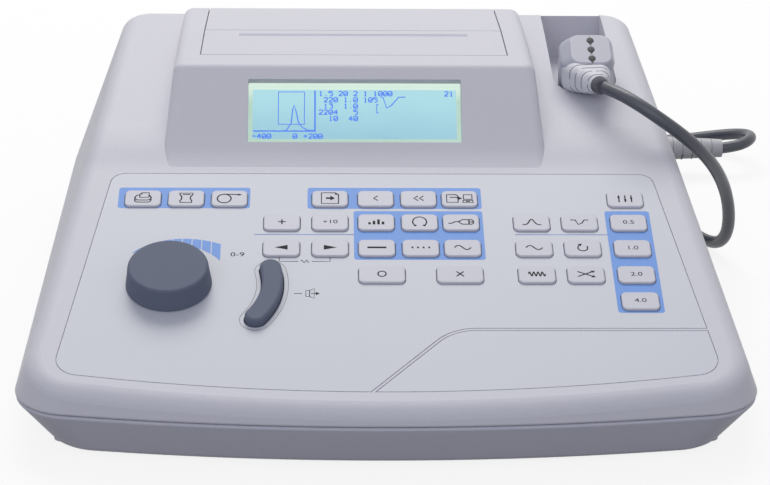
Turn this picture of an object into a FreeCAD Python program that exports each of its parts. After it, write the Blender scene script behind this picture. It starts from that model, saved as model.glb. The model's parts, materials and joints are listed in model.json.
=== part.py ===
"""Desktop audiometer and tympanometer with keypad, rotary level knob, tone bar, tilted
display, built-in strip printer and a hand-held probe parked in a holder on its cable.

Frame: millimetres, X to the right, Y to the rear, Z up.  The origin is the middle of the
case's plan on the surface that it stands on.  Pieces on the keypad are placed in its own
frame: x, then s up the slope from its front edge, then n square to it.
"""
import FreeCAD, Part
import math
import os
import re
from FreeCAD import Placement, Rotation, Vector

doc = FreeCAD.newDocument("audiometer")

# ---------------------------------------------------------------- driving sizes
SIZES = {
    # case, seen from above
    "case_width": 375,
    "front_bow_radius": 1000,
    "front_corner_radius": 30,
    "rear_corner_radius": 18,
    # case, seen from the side
    "foot_height": 2,
    "parting_height": 26,
    "parting_gap": 0.4,
    "case_wall": 2.6,
    "side_draft": 20.5,
    "front_draft": 12,
    "rear_draft": 3,
    "base_side_inset": 17,
    "base_front_inset": 10.5,
    "base_rear_inset": 3,
    "base_edge_radius": 5,
    "lip_radius": 1.2,
    "top_edge_radius": 10,
    # keypad slope
    "panel_setback": 14.3,
    "panel_front_height": 39.4,
    "panel_tilt": 16.66,
    "panel_length": 173.2,
    "panel_half_width": 168,
    "panel_taper": 7.05,
    "panel_corner_radius": 8,
    "panel_front_corner_radius": 12,
    "panel_gap": 0.5,
    "overlay_thickness": 0.8,
    # blank plate at the slope's lower right, with a ridge of the case round it
    "plate_back": 44.8,
    "plate_tip_x": -6,
    "plate_angle": 48.3,
    "plate_knee_radius": 25,
    "plate_ridge": 2.2,
    # ramp and shoulder behind the keypad
    "ramp_offset": 2,
    "ramp_blend_radius": 80,
    "ramp_angle": 25,
    "ramp_crown_radius": 120,
    "shoulder_angle": 12,
    "shoulder_radius": 890,
    # raised housing of the display and the printer
    "hump_x": -15,
    "hump_half_width": 101,
    "hump_draft": 6.5,
    "hump_crest_setback": 146.1,
    "display_run": 53.67,
    "hump_crest_height": 134.1,
    "hump_edge_radius": 6,
    "display_tilt": 43.6,
    "display_foot_radius": 45,
    "deck_tilt": 3,
    "deck_rear_tilt": 6,
    "deck_crease": 73.3,
    # display
    "window_width": 118.6,
    "window_height": 39,
    "window_below_crest": 9.5,
    "window_recess": 5,
    "window_rim": 2.4,
    "window_corner_radius": 0.8,
    "lens_thickness": 1,
    "lens_lap": 2,
    "lcd_gap": 0.3,
    "lcd_margin": 5,
    "lcd_thickness": 7,
    # keys
    "key_width": 19.4,
    "key_length": 13.6,
    "ear_key_width": 24.3,
    "key_rise": 1.2,
    "key_corner_radius": 3,
    "key_edge_radius": 0.8,
    "key_gap": 0.35,
    "key_flange": 1.2,
    "key_flange_thickness": 1.2,
    "key_stop_gap": 0.15,
    "key_travel": 1,
    "plunger_radius": 2.5,
    "plunger_length": 2,
    "dome_radius": 3.5,
    "dome_height": 1,
    "dome_gap": 0.2,
    # key grid: columns along x, rows along s
    "column_print": -129.3,
    "column_report": -106.1,
    "column_feed": -82.9,
    "column_left": -54.4,
    "column_right": -28.8,
    "column_a": -4.2,
    "column_b": 18.9,
    "column_c": 41.0,
    "column_ear_right": -1.9,
    "column_ear_left": 38.7,
    "column_tymp": 78.7,
    "column_reflex": 104.3,
    "column_tone": 130.6,
    "row_top": 150.6,
    "row_mode": 130.5,
    "row_select": 109.2,
    "row_ear": 87.8,
    "row_low": 67,
    # level knob on its encoder
    "knob_x": -112,
    "knob_s": 81,
    "knob_radius": 22.2,
    "knob_top_radius": 20.6,
    "knob_height": 12,
    "knob_edge_radius": 1.6,
    "knob_lift": 0.6,
    "knob_wall": 3,
    "hub_radius": 6,
    "shaft_radius": 3,
    "shaft_fit": 0.05,
    "bush_radius": 4.5,
    "bush_height": 5,
    "bush_gap": 0.3,
    "encoder_side": 14,
    # tone bar, bent about a centre to its left
    "tone_x": -106.5,
    "tone_s": 80,
    "tone_bend_radius": 48,
    "tone_start": -34,
    "tone_end": 13.5,
    "tone_width": 11,
    "tone_rise": 4.5,
    "tone_edge_radius": 1.8,
    "tone_travel": 1.5,
    "tone_gap": 0.6,
    # boards and the pump
    "board_thickness": 1.6,
    "post_radius": 3.5,
    "keypad_board_front": 42,
    "keypad_board_back": 162,
    "keypad_board_half_width": 142,
    "main_board_length": 296,
    "main_board_width": 142,
    "main_board_x": 8,
    "main_board_setback": 80,
    "main_board_lift": 2.4,
    "main_board_post_inset": 8,
    "pump_length": 60,
    "pump_width": 42,
    "pump_height": 30,
    "pump_side_inset": 82.5,
    "pump_front_inset": 180,
    "pump_head_radius": 14,
    "pump_head_height": 12,
    # feet and screws
    "foot_radius": 8,
    "foot_recess": 1.2,
    "foot_gap": 0.2,
    "foot_x": 140,
    "foot_inset": 40,
    "screw_x": 163,
    "screw_inset": 35,
    "screw_radius": 1.5,
    "screw_head_radius": 2.8,
    "screw_head_height": 2.4,
    "screw_length": 26,
    "screw_gap": 0.2,
    "boss_radius": 4.5,
    "boss_height": 14,
    # printer bay
    "bay_behind_crest": 18.7,
    "bay_half_width": 87.4,
    "bay_floor": 68,
    "bay_wall": 2.2,
    "bay_ledge": 4,
    "bay_ledge_thickness": 2,
    "cover_thickness": 2.2,
    "cover_gap": 0.7,
    "cover_seat": 0.1,
    "slot_length": 133,
    "slot_width": 4.5,
    "slot_ahead": 10.6,
    # lid hinge
    "hinge_radius": 4.5,
    "hinge_z": 112,
    "hinge_gap": 0.8,
    "hinge_pin_radius": 2,
    "hinge_pin_length": 3,
    "hinge_fit": 0.05,
    # printer works
    "roll_radius": 23,
    "roll_core_radius": 6,
    "roll_width": 112,
    "roll_setback": 39,
    "roll_gap": 0.3,
    "platen_radius": 7,
    "platen_length": 116,
    "platen_behind": 34.4,
    "platen_z": 110,
    "platen_pin_radius": 2.5,
    "platen_fit": 0.05,
    "cheek_thickness": 3,
    "cheek_gap": 0.5,
    "cheek_front_behind": 13.4,
    "cheek_rear_behind": 53.4,
    "cheek_top": 120,
    "frame_base": 3,
    "head_height": 20,
    "head_gap": 0.3,
    "head_bar": 3,
    "motor_radius": 12,
    "motor_length": 19,
    "motor_behind": 27.4,
    # probe holder
    "holder_x": 118.9,
    "holder_setback": 106,
    "holder_radius": 18.3,
    "holder_floor": 92,
    "holder_rear_wall": 6.5,
    "holder_wall": 2.2,
    "nest_gap": 0.3,
    # hand-held probe
    "probe_lean": 23.5,
    "probe_top_setback": 113.5,
    "probe_top_z": 132.7,
    "probe_width": 31.5,
    "probe_thickness": 26.5,
    "probe_length": 33,
    "probe_waist_width": 29,
    "probe_waist_thickness": 20,
    "probe_corner_radius": 8,
    "probe_crown_width": 23,
    "probe_crown_thickness": 25,
    "probe_crown_shift": 2.4,
    "probe_crown_drop": 4.5,
    "probe_crown_corner_radius": 6,
    "probe_shoulder_radius": 3,
    "probe_edge_radius": 1.5,
    "nose_radius": 7,
    "nose_length": 19,
    "nose_tip_radius": 2.5,
    "nose_collar_radius": 9.5,
    "nose_collar_length": 2,
    "relief_drop": 9.3,
    "relief_yaw": 10.3,
    "relief_rise": 6.7,
    "relief_length": 23,
    "relief_root": 4,
    "relief_base_width": 28.5,
    "relief_base_height": 18,
    "relief_tip_radius": 5.4,
    "relief_corner": 3,
    "relief_side_flat": 0.1,
    "relief_swell": 1.3,
    "relief_ribs": 5,
    "relief_rib_depth": 0.5,
    # rear sockets
    "socket_z": 16,
    "socket_setback": 0.3,
    "socket_gap": 0.25,
    "socket_depth": 14,
    "probe_socket_x": 142,
    "probe_socket_width": 39,
    "data_socket_x": -62,
    "data_socket_width": 31,
    "socket_wall": 1.2,
    "jack_x": 83,
    "jack_spacing": 22,
    "jack_width": 12,
    "jack_length": 22,
    "jack_bore_radius": 3.25,
    "jack_bore_length": 20,
    "power_x": -120,
    "power_bore_radius": 2.8,
    "power_bore_length": 10,
    # probe plug and the cable
    "plug_width": 44,
    "plug_depth": 40,
    "plug_height": 15.5,
    "plug_edge_radius": 2.5,
    "plug_gap": 0.4,
    "plug_neck_radius": 5.4,
    "plug_relief_x": 190,
    "plug_relief_behind": 32,
    "plug_relief_z": 17,
    "plug_relief_radius": 7.6,
    "plug_relief_tip_radius": 5.8,
    "plug_relief_length": 36,
    "cable_diameter": 7.4,
    "coil_x": 0,
    "coil_behind": 60,
    "coil_radius": 40,
    "coil_width": 24.4,
    "coil_height": 14.8,
}

sheet = doc.addObject("Spreadsheet::Sheet", "Sizes")
for row, (alias, number) in enumerate(SIZES.items(), start=1):
    sheet.set(f"A{row}", alias)
    sheet.set(f"B{row}", str(number))
    sheet.setAlias(f"B{row}", alias)
doc.recompute()


def size(alias):
    """The number that the sheet holds under an alias."""
    return float(getattr(sheet, alias))


def slope(alias):
    """The rise per unit of run of an angle in the sheet."""
    return math.tan(math.radians(size(alias)))


def bind(item, formulas):
    """Ties properties to formulas written in the sheet's aliases."""
    def cell(word):
        return f"Sizes.{word[0]}" if word[0] in SIZES else word[0]
    for prop, formula in formulas.items():
        item.setExpression(prop, re.sub(r"[a-z][a-z_]+", cell, formula))


# The case is as deep as the keypad's slope, the display face and the rear part together.
DEPTH = "panel_setback + panel_length * cos(panel_tilt) + display_run + hump_crest_setback"
REAR = f"({DEPTH}) / 2"
BAY = f"{REAR} - hump_crest_setback + bay_behind_crest"
HALF_DEPTH = (size("panel_setback") + size("panel_length") * math.cos(math.radians(size("panel_tilt")))
              + size("display_run") + size("hump_crest_setback")) / 2

NODES = []


def finish(item, label):
    """Names a finished sub-part and lists it for export."""
    item.Label = label
    NODES.append(item)
    return item


# ---------------------------------------------------------------- small builders
ALONG = {
    "x": Rotation(Vector(0, 1, 0), 90),
    "y": Rotation(Vector(1, 0, 0), -90),
    "z": Rotation(),
}


def seat(item, x, y, z):
    bind(item, {"Placement.Base.x": x, "Placement.Base.y": y, "Placement.Base.z": z})


def seat_on_panel(item, x, s, n="0"):
    """Places a piece in the keypad's frame."""
    item.Placement = Placement(Vector(), Rotation(Vector(1, 0, 0), size("panel_tilt")))
    bind(item, {"Placement.Rotation.Angle": "panel_tilt"})
    seat(item, x,
         f"panel_setback - {REAR} + ({s}) * cos(panel_tilt) - ({n}) * sin(panel_tilt)",
         f"panel_front_height + ({s}) * sin(panel_tilt) + ({n}) * cos(panel_tilt)")


def box(name, length, width, height, x="0", y="0", z="0"):
    """A box with its low corner at x, y, z."""
    item = doc.addObject("Part::Box", name)
    bind(item, {"Length": length, "Width": width, "Height": height})
    seat(item, x, y, z)
    return item


def rod(name, radius, length, x="0", y="0", z="0", along="z"):
    """A cylinder that starts at x, y, z and runs along an axis."""
    item = doc.addObject("Part::Cylinder", name)
    item.Placement = Placement(Vector(), ALONG[along])
    bind(item, {"Radius": radius, "Height": length})
    seat(item, x, y, z)
    return item


def fuse(name, pieces):
    item = doc.addObject("Part::MultiFuse", name)
    item.Shapes = pieces
    return item


def cut(name, base, tool):
    item = doc.addObject("Part::Cut", name)
    item.Base = base
    item.Tool = tool
    return item


def gather(name, pieces):
    """Alike pieces kept as separate solids of one node."""
    item = doc.addObject("Part::Compound", name)
    item.Links = pieces
    return item


def moulding(name, shape, placement=Placement()):
    """A sub-part whose form needs Part's own functions."""
    item = doc.addObject("Part::Feature", name)
    item.Shape = shape
    item.Placement = placement
    return item


def prism(points, height):
    """An upright prism on a polygon of (x, y) points at height 0."""
    ring = Part.makePolygon([Vector(x, y, 0) for x, y in points + points[:1]])
    return Part.Face(ring).extrude(Vector(0, 0, height))


def is_upright(edge):
    first, last = edge.Vertexes[0].Point, edge.Vertexes[-1].Point
    return math.hypot(last.x - first.x, last.y - first.y) < 1e-6


def round_uprights(solid, radius, wanted=lambda middle: True):
    """Fillets the upright edges whose middle is wanted."""
    edges = [edge for edge in solid.Edges if is_upright(edge) and wanted(edge.CenterOfMass)]
    return solid.makeFillet(radius, edges)


# ---------------------------------------------------------------- form of the case
PANEL_Y = size("panel_setback") - HALF_DEPTH
PANEL = Placement(Vector(0, PANEL_Y, size("panel_front_height")),
                  Rotation(Vector(1, 0, 0), size("panel_tilt")))
CREST_Y = HALF_DEPTH - size("hump_crest_setback")
DISPLAY = Placement(Vector(size("hump_x"), CREST_Y, size("hump_crest_height")),
                    Rotation(Vector(1, 0, 0), size("display_tilt")))
ABOVE = size("hump_crest_height") + size("case_wall")
FAR = size("case_width")


def rear_at(z):
    """Where the rear wall's outer face stands at a height above the parting line."""
    return HALF_DEPTH - slope("rear_draft") * (z - size("parting_height"))


def case_outline(z, inset=0.0):
    """Plan of the case at a height: bowed front, round corners, straight sides and rear."""
    rise = z - size("parting_height")
    if rise >= 0:
        side, front, rear = (slope(name) * rise for name in ("side_draft", "front_draft", "rear_draft"))
    else:
        share = -rise / (size("parting_height") - size("foot_height"))
        side, front, rear = (size(name) * share
                             for name in ("base_side_inset", "base_front_inset", "base_rear_inset"))
    half = size("case_width") / 2 - side - inset
    front_y = front + inset - HALF_DEPTH
    rear_y = HALF_DEPTH - rear - inset
    bow = size("front_bow_radius")
    corner = size("front_corner_radius") - inset
    heel = size("rear_corner_radius") - inset
    reach = math.sqrt((bow - corner) ** 2 - (half - corner) ** 2)
    bow_centre = Vector(0, front_y + bow, z)
    centre = Vector(half - corner, bow_centre.y - reach, z)
    outward = (centre - bow_centre).normalize()
    between = (outward + Vector(1, 0, 0)).normalize()
    heel_centre = Vector(half - heel, rear_y - heel, z)
    diagonal = Vector(1, 1, 0).normalize()
    right = [bow_centre + outward * bow, centre + between * corner, Vector(half, centre.y, z),
             Vector(half, heel_centre.y, z), heel_centre + diagonal * heel,
             Vector(heel_centre.x, rear_y, z)]
    left = [Vector(-point.x, point.y, z) for point in right]
    edges = [Part.Arc(left[0], Vector(0, front_y, z), right[0]),
             Part.Arc(right[0], right[1], right[2]), Part.LineSegment(right[2], right[3]),
             Part.Arc(right[3], right[4], right[5]), Part.LineSegment(right[5], left[5]),
             Part.Arc(left[5], left[4], left[3]), Part.LineSegment(left[3], left[2]),
             Part.Arc(left[2], left[1], left[0])]
    return Part.Wire([edge.toShape() for edge in edges])


def case_block(low, high, inset=0.0):
    return Part.makeLoft([case_outline(low, inset), case_outline(high, inset)], True, True)


def across(points_and_edges):
    """A solid as wide as the case from a closed outline in the YZ plane."""
    face = Part.Face(Part.Wire(points_and_edges))
    face.translate(Vector(-FAR, 0, 0))
    return face.extrude(Vector(2 * FAR, 0, 0))


def bend(start, first, last, radius):
    """An arc in side view that leaves start at one slope and ends at another, in degrees."""
    side = math.copysign(radius, last - first)

    def normal(angle):
        turned = math.radians(angle)
        return Vector(0, -math.sin(turned), math.cos(turned))
    centre = start + normal(first) * side
    middle, end = (centre - normal(angle) * side for angle in ((first + last) / 2, last))
    return Part.Arc(start, middle, end).toShape(), end


def slope_line(drop=0.0):
    """Side view of the keypad slope, the ramp and the shoulder, lowered by drop, front to rear."""
    tilt = size("panel_tilt")
    run = size("panel_length") + size("ramp_offset")
    foot = Vector(0, PANEL_Y, size("panel_front_height") - drop)
    front = foot - Vector(0, FAR, FAR * slope("panel_tilt"))
    top = foot + Vector(0, run * math.cos(math.radians(tilt)), run * math.sin(math.radians(tilt)))
    blend, blend_end = bend(top, tilt, size("ramp_angle"), size("ramp_blend_radius"))
    crown, crown_end = bend(blend_end, size("ramp_angle"), size("shoulder_angle"),
                            size("ramp_crown_radius"))
    past_rear = HALF_DEPTH + size("case_wall") - crown_end.y
    last = math.degrees(math.asin(math.sin(math.radians(size("shoulder_angle")))
                                  - past_rear / size("shoulder_radius")))
    shoulder, end = bend(crown_end, size("shoulder_angle"), last, size("shoulder_radius"))
    return [Part.makeLine(front, top), blend, crown, shoulder]


def slope_block(drop=0.0):
    """Everything under the keypad slope, the ramp and the shoulder, lowered by drop."""
    line = slope_line(drop)
    front, end = line[0].Vertexes[0].Point, line[-1].Vertexes[-1].Point
    under_end = Vector(0, end.y, front.z)
    return across(line + [Part.makeLine(end, under_end), Part.makeLine(under_end, front)])


def meet(first, first_angle, second, second_angle):
    """Where two lines in side view cross."""
    rise, other = (math.tan(math.radians(angle)) for angle in (first_angle, second_angle))
    y = (second.z - first.z + rise * first.y - other * second.y) / (rise - other)
    return Vector(0, y, first.z + rise * (y - first.y))


def display_foot(crest):
    """Centre of the hollow arc where the display face runs out into the ramp, and the ramp's angle."""
    tilt = math.radians(size("display_tilt"))
    face = Part.makeLine(crest, crest - Vector(0, math.cos(tilt), math.sin(tilt)) * FAR)
    for edge in slope_line():
        distance, points, _ = face.distToShape(edge)
        if distance < 1e-6:
            corner = points[0][0]
            along = edge.tangentAt(edge.Curve.parameter(corner))
            ramp = math.atan2(along.z, along.y)
            upright = (tilt + ramp) / 2
            reach = size("display_foot_radius") / math.cos(tilt - upright)
            centre = corner + Vector(0, -math.sin(upright), math.cos(upright)) * reach
            return centre, math.degrees(ramp)
    raise RuntimeError("the display face doesn't meet the ramp")


def deck_block(skin=0.0):
    """Everything under the display face and the two deck slopes, each moved in by skin."""
    crest = Vector(0, CREST_Y, size("hump_crest_height"))
    crease_y = HALF_DEPTH - size("deck_crease")
    crease = Vector(0, crease_y, crest.z - slope("deck_tilt") * (crease_y - CREST_Y))
    lines = []
    for point, angle in ((crest, size("display_tilt")), (crest, -size("deck_tilt")),
                         (crease, -size("deck_rear_tilt"))):
        turned = math.radians(angle)
        inward = Vector(0, math.sin(turned), -math.cos(turned))
        lines.append((point + inward * skin, angle))
    base = Vector(0, 0, size("parting_height"))
    centre, ramp_angle = display_foot(crest)
    radius = size("display_foot_radius") + skin
    high, middle, low = (centre + Vector(0, math.sin(math.radians(angle)), -math.cos(math.radians(angle)))
                         * radius for angle in (size("display_tilt"),
                                                (size("display_tilt") + ramp_angle) / 2, ramp_angle))
    foot = meet(low, ramp_angle, base, 0)
    rear = Vector(0, FAR, lines[2][0].z - slope("deck_rear_tilt") * (FAR - lines[2][0].y))
    ring = [high, meet(*lines[0], *lines[1]), meet(*lines[1], *lines[2]), rear,
            Vector(0, FAR, base.z), foot, low]
    return across(Part.makePolygon(ring).Edges + [Part.Arc(low, middle, high).toShape()])


def hump_block(skin=0.0):
    """The raised housing: drafted sides under the display face and decks."""
    def ring(z):
        half = size("hump_half_width") + slope("hump_draft") * (size("hump_crest_height") - z) - skin
        x = size("hump_x")
        corners = [(x - half, -FAR), (x + half, -FAR), (x + half, FAR), (x - half, FAR)]
        return Part.makePolygon([Vector(*corner, z) for corner in corners + corners[:1]])
    low = size("parting_height") + size("case_wall")
    sides = Part.makeLoft([ring(low), ring(ABOVE)], True, True)
    walls = case_block(low, ABOVE, skin)
    return sides.common(deck_block(skin)).common(walls)


def case_solid():
    """The upper housing's outer form, solid."""
    low = size("parting_height") + size("parting_gap")
    body = case_block(low, ABOVE).common(slope_block())

    def on_rim(edge):
        middle, box_of = edge.CenterOfMass, edge.BoundBox
        inner_line = box_of.YLength < 1e-6 and box_of.XLength > size("case_width") / 2
        near_rear = middle.y > HALF_DEPTH - size("rear_corner_radius")
        return middle.z > low + 2 and not is_upright_wall(edge) and (not inner_line or near_rear)
    body = body.makeFillet(size("top_edge_radius"), [edge for edge in body.Edges if on_rim(edge)])
    lip = [edge for edge in body.Edges if edge.BoundBox.ZMax < low + 1e-4]
    body = body.makeFillet(size("lip_radius"), lip)
    hump = hump_block()
    crease = HALF_DEPTH - size("deck_crease")
    roof = size("panel_front_height") + size("panel_length") * slope("panel_tilt")
    ridges = [edge for edge in hump.Edges
              if edge.BoundBox.ZMax > roof and abs(edge.CenterOfMass.y - crease) > 1
              or edge.BoundBox.ZLength > size("panel_front_height")]
    hump = hump.makeFillet(size("hump_edge_radius"), ridges)
    return body, hump


def is_upright_wall(edge):
    """The seams between the walls, which run up from the lip."""
    return edge.BoundBox.ZMin < size("parting_height") + size("parting_gap") + 1e-4


# ---------------------------------------------------------------- keypad: what is on it, and where
KEYS = {
    "print_key": ("column_print", "row_top"),
    "report_key": ("column_report", "row_top"),
    "paper_feed_key": ("column_feed", "row_top"),
    "page_key": ("column_right", "row_top"),
    "recall_back_key": ("column_a", "row_top"),
    "recall_next_key": ("column_b", "row_top"),
    "transfer_key": ("column_c", "row_top"),
    "program_key": ("column_tone", "row_top"),
    "memory_key": ("column_left", "row_mode"),
    "boost_key": ("column_right", "row_mode"),
    "audiometry_key": ("column_a", "row_mode"),
    "headphone_key": ("column_b", "row_mode"),
    "insert_phone_key": ("column_c", "row_mode"),
    "tympanometry_key": ("column_tymp", "row_mode"),
    "reflex_key": ("column_reflex", "row_mode"),
    "tone_500_key": ("column_tone", "row_mode"),
    "left_arrow_key": ("column_left", "row_select"),
    "right_arrow_key": ("column_right", "row_select"),
    "steady_tone_key": ("column_a", "row_select"),
    "pulsed_tone_key": ("column_b", "row_select"),
    "warble_tone_key": ("column_c", "row_select"),
    "probe_226_key": ("column_tymp", "row_select"),
    "same_ear_key": ("column_reflex", "row_select"),
    "tone_1000_key": ("column_tone", "row_select"),
    "right_ear_key": ("column_ear_right", "row_ear"),
    "left_ear_key": ("column_ear_left", "row_ear"),
    "probe_1000_key": ("column_tymp", "row_ear"),
    "other_ear_key": ("column_reflex", "row_ear"),
    "tone_2000_key": ("column_tone", "row_ear"),
    "tone_4000_key": ("column_tone", "row_low"),
}


def width_of(key):
    """The alias of a key's width: the two ear keys are wider."""
    return "ear_key_width" if key in ("right_ear_key", "left_ear_key") else "key_width"


FLANGE_TOP = "case_wall + key_stop_gap"
FLANGE_FOOT = f"{FLANGE_TOP} + key_flange_thickness"
DOME_TOP = f"{FLANGE_FOOT} + plunger_length + key_travel + dome_gap"
BOARD_TOP = f"{DOME_TOP} + dome_height"
DOME_TOP_DEPTH = sum(size(name) for name in (
    "case_wall", "key_stop_gap", "key_flange_thickness", "plunger_length", "key_travel", "dome_gap"))
BOARD_DEPTH = DOME_TOP_DEPTH + size("dome_height")
THROUGH = size("case_wall") + size("knob_height")


def panel_outline(grow=0.0):
    """Outline of the keypad's sunk field as a prism through the deck, in the keypad's frame."""
    bow = size("front_bow_radius")
    back = size("panel_length") + grow
    half = size("panel_half_width") + grow / math.cos(math.radians(size("panel_taper")))
    taper = slope("panel_taper")
    sag = bow - math.sqrt(bow ** 2 - half ** 2)
    front_half = half - taper * sag
    back_half = half - taper * back
    depth = -size("overlay_thickness")
    right, left = (Vector(side * front_half, sag - grow, depth) for side in (1, -1))
    right_back, left_back = (Vector(side * back_half, back, depth) for side in (1, -1))
    edges = [Part.Arc(left, Vector(0, -grow, depth), right).toShape(), Part.makeLine(right, right_back),
             Part.makeLine(right_back, left_back), Part.makeLine(left_back, left)]
    solid = Part.Face(Part.Wire(edges)).extrude(Vector(0, 0, THROUGH))
    solid = round_uprights(solid, size("panel_corner_radius") + grow, lambda point: point.y > back / 2)
    return round_uprights(solid, size("panel_front_corner_radius") + grow,
                          lambda point: point.y < back / 4 and abs(point.x) > front_half / 2)


def plate_corner(grow=0.0):
    """The lower right part of the field, cut off by a diagonal that bends into a level line."""
    turned = math.radians(size("plate_angle"))
    side = Vector(-math.sin(turned), math.cos(turned), 0) * grow
    back = size("plate_back") + grow
    tip = Vector(size("plate_tip_x"), 0, 0) + side
    along = Vector(math.cos(turned), math.sin(turned), 0)
    knee = tip + along * ((back - tip.y) / along.y)
    start = tip - along * FAR
    solid = prism([(start.x, start.y), (knee.x, knee.y), (FAR, back), (FAR, start.y)], THROUGH)
    solid.translate(Vector(0, 0, -size("overlay_thickness")))
    radius = size("plate_knee_radius") + grow
    return round_uprights(solid, radius, lambda point: abs(point.x - knee.x) + abs(point.y - knee.y) < 1)


def key_openings(low, high):
    """Prisms for every key's cap with its gap, from depth low to height high."""
    prisms = []
    for key, (column, row) in KEYS.items():
        wide = size(width_of(key)) + 2 * size("key_gap")
        long = size("key_length") + 2 * size("key_gap")
        hole = Part.makeBox(wide, long, high - low,
                            Vector(size(column) - wide / 2, size(row) - long / 2, low))
        prisms.append(round_uprights(hole, size("key_corner_radius") + size("key_gap")))
    return prisms


def tone_sector(grow, low, high):
    """The tone bar's bent outline with round ends, as a prism in the keypad's frame."""
    centre = Vector(size("tone_x"), size("tone_s"), low)
    half = size("tone_width") / 2 + grow
    bend_radius = size("tone_bend_radius")

    def spot(radius, angle):
        turned = math.radians(angle)
        return centre + Vector(math.cos(turned), math.sin(turned), 0) * radius
    start, end = size("tone_start"), size("tone_end")
    cap = math.degrees(half / bend_radius)
    inner, outer = bend_radius - half, bend_radius + half
    edges = [Part.Arc(spot(outer, start), spot(outer, (start + end) / 2), spot(outer, end)),
             Part.Arc(spot(outer, end), spot(bend_radius, end + cap), spot(inner, end)),
             Part.Arc(spot(inner, end), spot(inner, (start + end) / 2), spot(inner, start)),
             Part.Arc(spot(inner, start), spot(bend_radius, start - cap), spot(outer, start))]
    face = Part.Face(Part.Wire([edge.toShape() for edge in edges]))
    return face.extrude(Vector(0, 0, high - low))


def field_openings(low, high):
    """What the deck and the overlay leave open: keys, tone bar and the encoder's bush."""
    bush = Part.makeCylinder(size("bush_radius") + size("bush_gap"), high - low,
                             Vector(size("knob_x"), size("knob_s"), low))
    return key_openings(low, high) + [tone_sector(size("tone_gap"), low, high), bush]


def cut_all(base, tools):
    return base.cut(Part.makeCompound(tools))


def on_panel(shape):
    """A shape drawn in the keypad's frame, moved to where the keypad is."""
    moved = shape.copy()
    moved.Placement = PANEL.multiply(moved.Placement)
    return moved


# ---------------------------------------------------------------- printed overlay and blank plate
overlay = cut_all(panel_outline().cut(plate_corner(size("plate_ridge"))),
                  field_openings(-size("case_wall"), THROUGH))
skin_only = Part.makeBox(2 * FAR, 2 * FAR, size("overlay_thickness"),
                         Vector(-FAR, -FAR, -size("overlay_thickness")))
finish(moulding("KeypadOverlay", overlay.common(skin_only), PANEL), "keypad_overlay")

plate = panel_outline().common(plate_corner()).common(skin_only)
finish(moulding("FrontPlate", plate, PANEL), "front_plate")


# ---------------------------------------------------------------- printer bay, seen from above
BAY_FRONT = CREST_Y + size("bay_behind_crest")
BAY_SEAT = size("cover_thickness") + size("cover_seat")
HINGE_Y = rear_at(size("hinge_z")) - size("hinge_radius")
CREASE_Y = HALF_DEPTH - size("deck_crease")


def bay_prism(grow, low, front):
    """A box over the bay that reaches from a height to above the decks and out at the rear."""
    half = size("bay_half_width") + grow
    return Part.makeBox(2 * half, FAR, ABOVE - low, Vector(size("hump_x") - half, front, low))


def hinge_rod(radius, start, length):
    """A rod on the lid's hinge line; start is measured from the housing's middle."""
    return Part.makeCylinder(radius, length,
                             Vector(size("hump_x") + start, HINGE_Y, size("hinge_z")), Vector(1, 0, 0))


def hinge_bosses(radius, length):
    """A rod outward from each side of the bay, on the hinge line."""
    half = size("bay_half_width")
    return [hinge_rod(radius, half, length), hinge_rod(radius, -half - length, length)]


# ---------------------------------------------------------------- probe holder
PROBE = Placement(Vector(size("holder_x"), HALF_DEPTH - size("probe_top_setback"), size("probe_top_z")),
                  Rotation(Vector(1, 0, 0), size("probe_lean")))
NOSE_TOP = -size("probe_length")


def holder_prism(grow, low):
    """The holder's slot: round in front, straight to the rear, open at the top."""
    radius = size("holder_radius") + grow
    x, y = size("holder_x"), HALF_DEPTH - size("holder_setback")
    rear = HALF_DEPTH - size("holder_rear_wall") - size("holder_wall") + grow
    round_end = Part.makeCylinder(radius, ABOVE - low, Vector(x, y, low))
    return round_end.fuse(Part.makeBox(2 * radius, rear - y, ABOVE - low, Vector(x - radius, y, low)))


def probe_rod(radius, start, length):
    """A rod down the probe's own axis, start and length measured from its top face."""
    rod_shape = Part.makeCylinder(radius, length, Vector(0, 0, -start - length))
    rod_shape.Placement = PROBE
    return rod_shape


# ---------------------------------------------------------------- upper shell
def post(x, s):
    """A round post under the deck that the keypad's board is staked to."""
    return Part.makeCylinder(size("post_radius"), BOARD_DEPTH - size("case_wall") / 2,
                             Vector(x, s, -BOARD_DEPTH))


def screw_places():
    """Where the case's screws stand, seen from above."""
    return [(side * size("screw_x"), row * (HALF_DEPTH - size("screw_inset")))
            for side in (1, -1) for row in (-1, 0, 1)]


BOSS_TOP = size("foot_height") + size("case_wall") + size("boss_height")
SCREW_SEAT = size("foot_height") + size("boss_height") / 2


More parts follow.
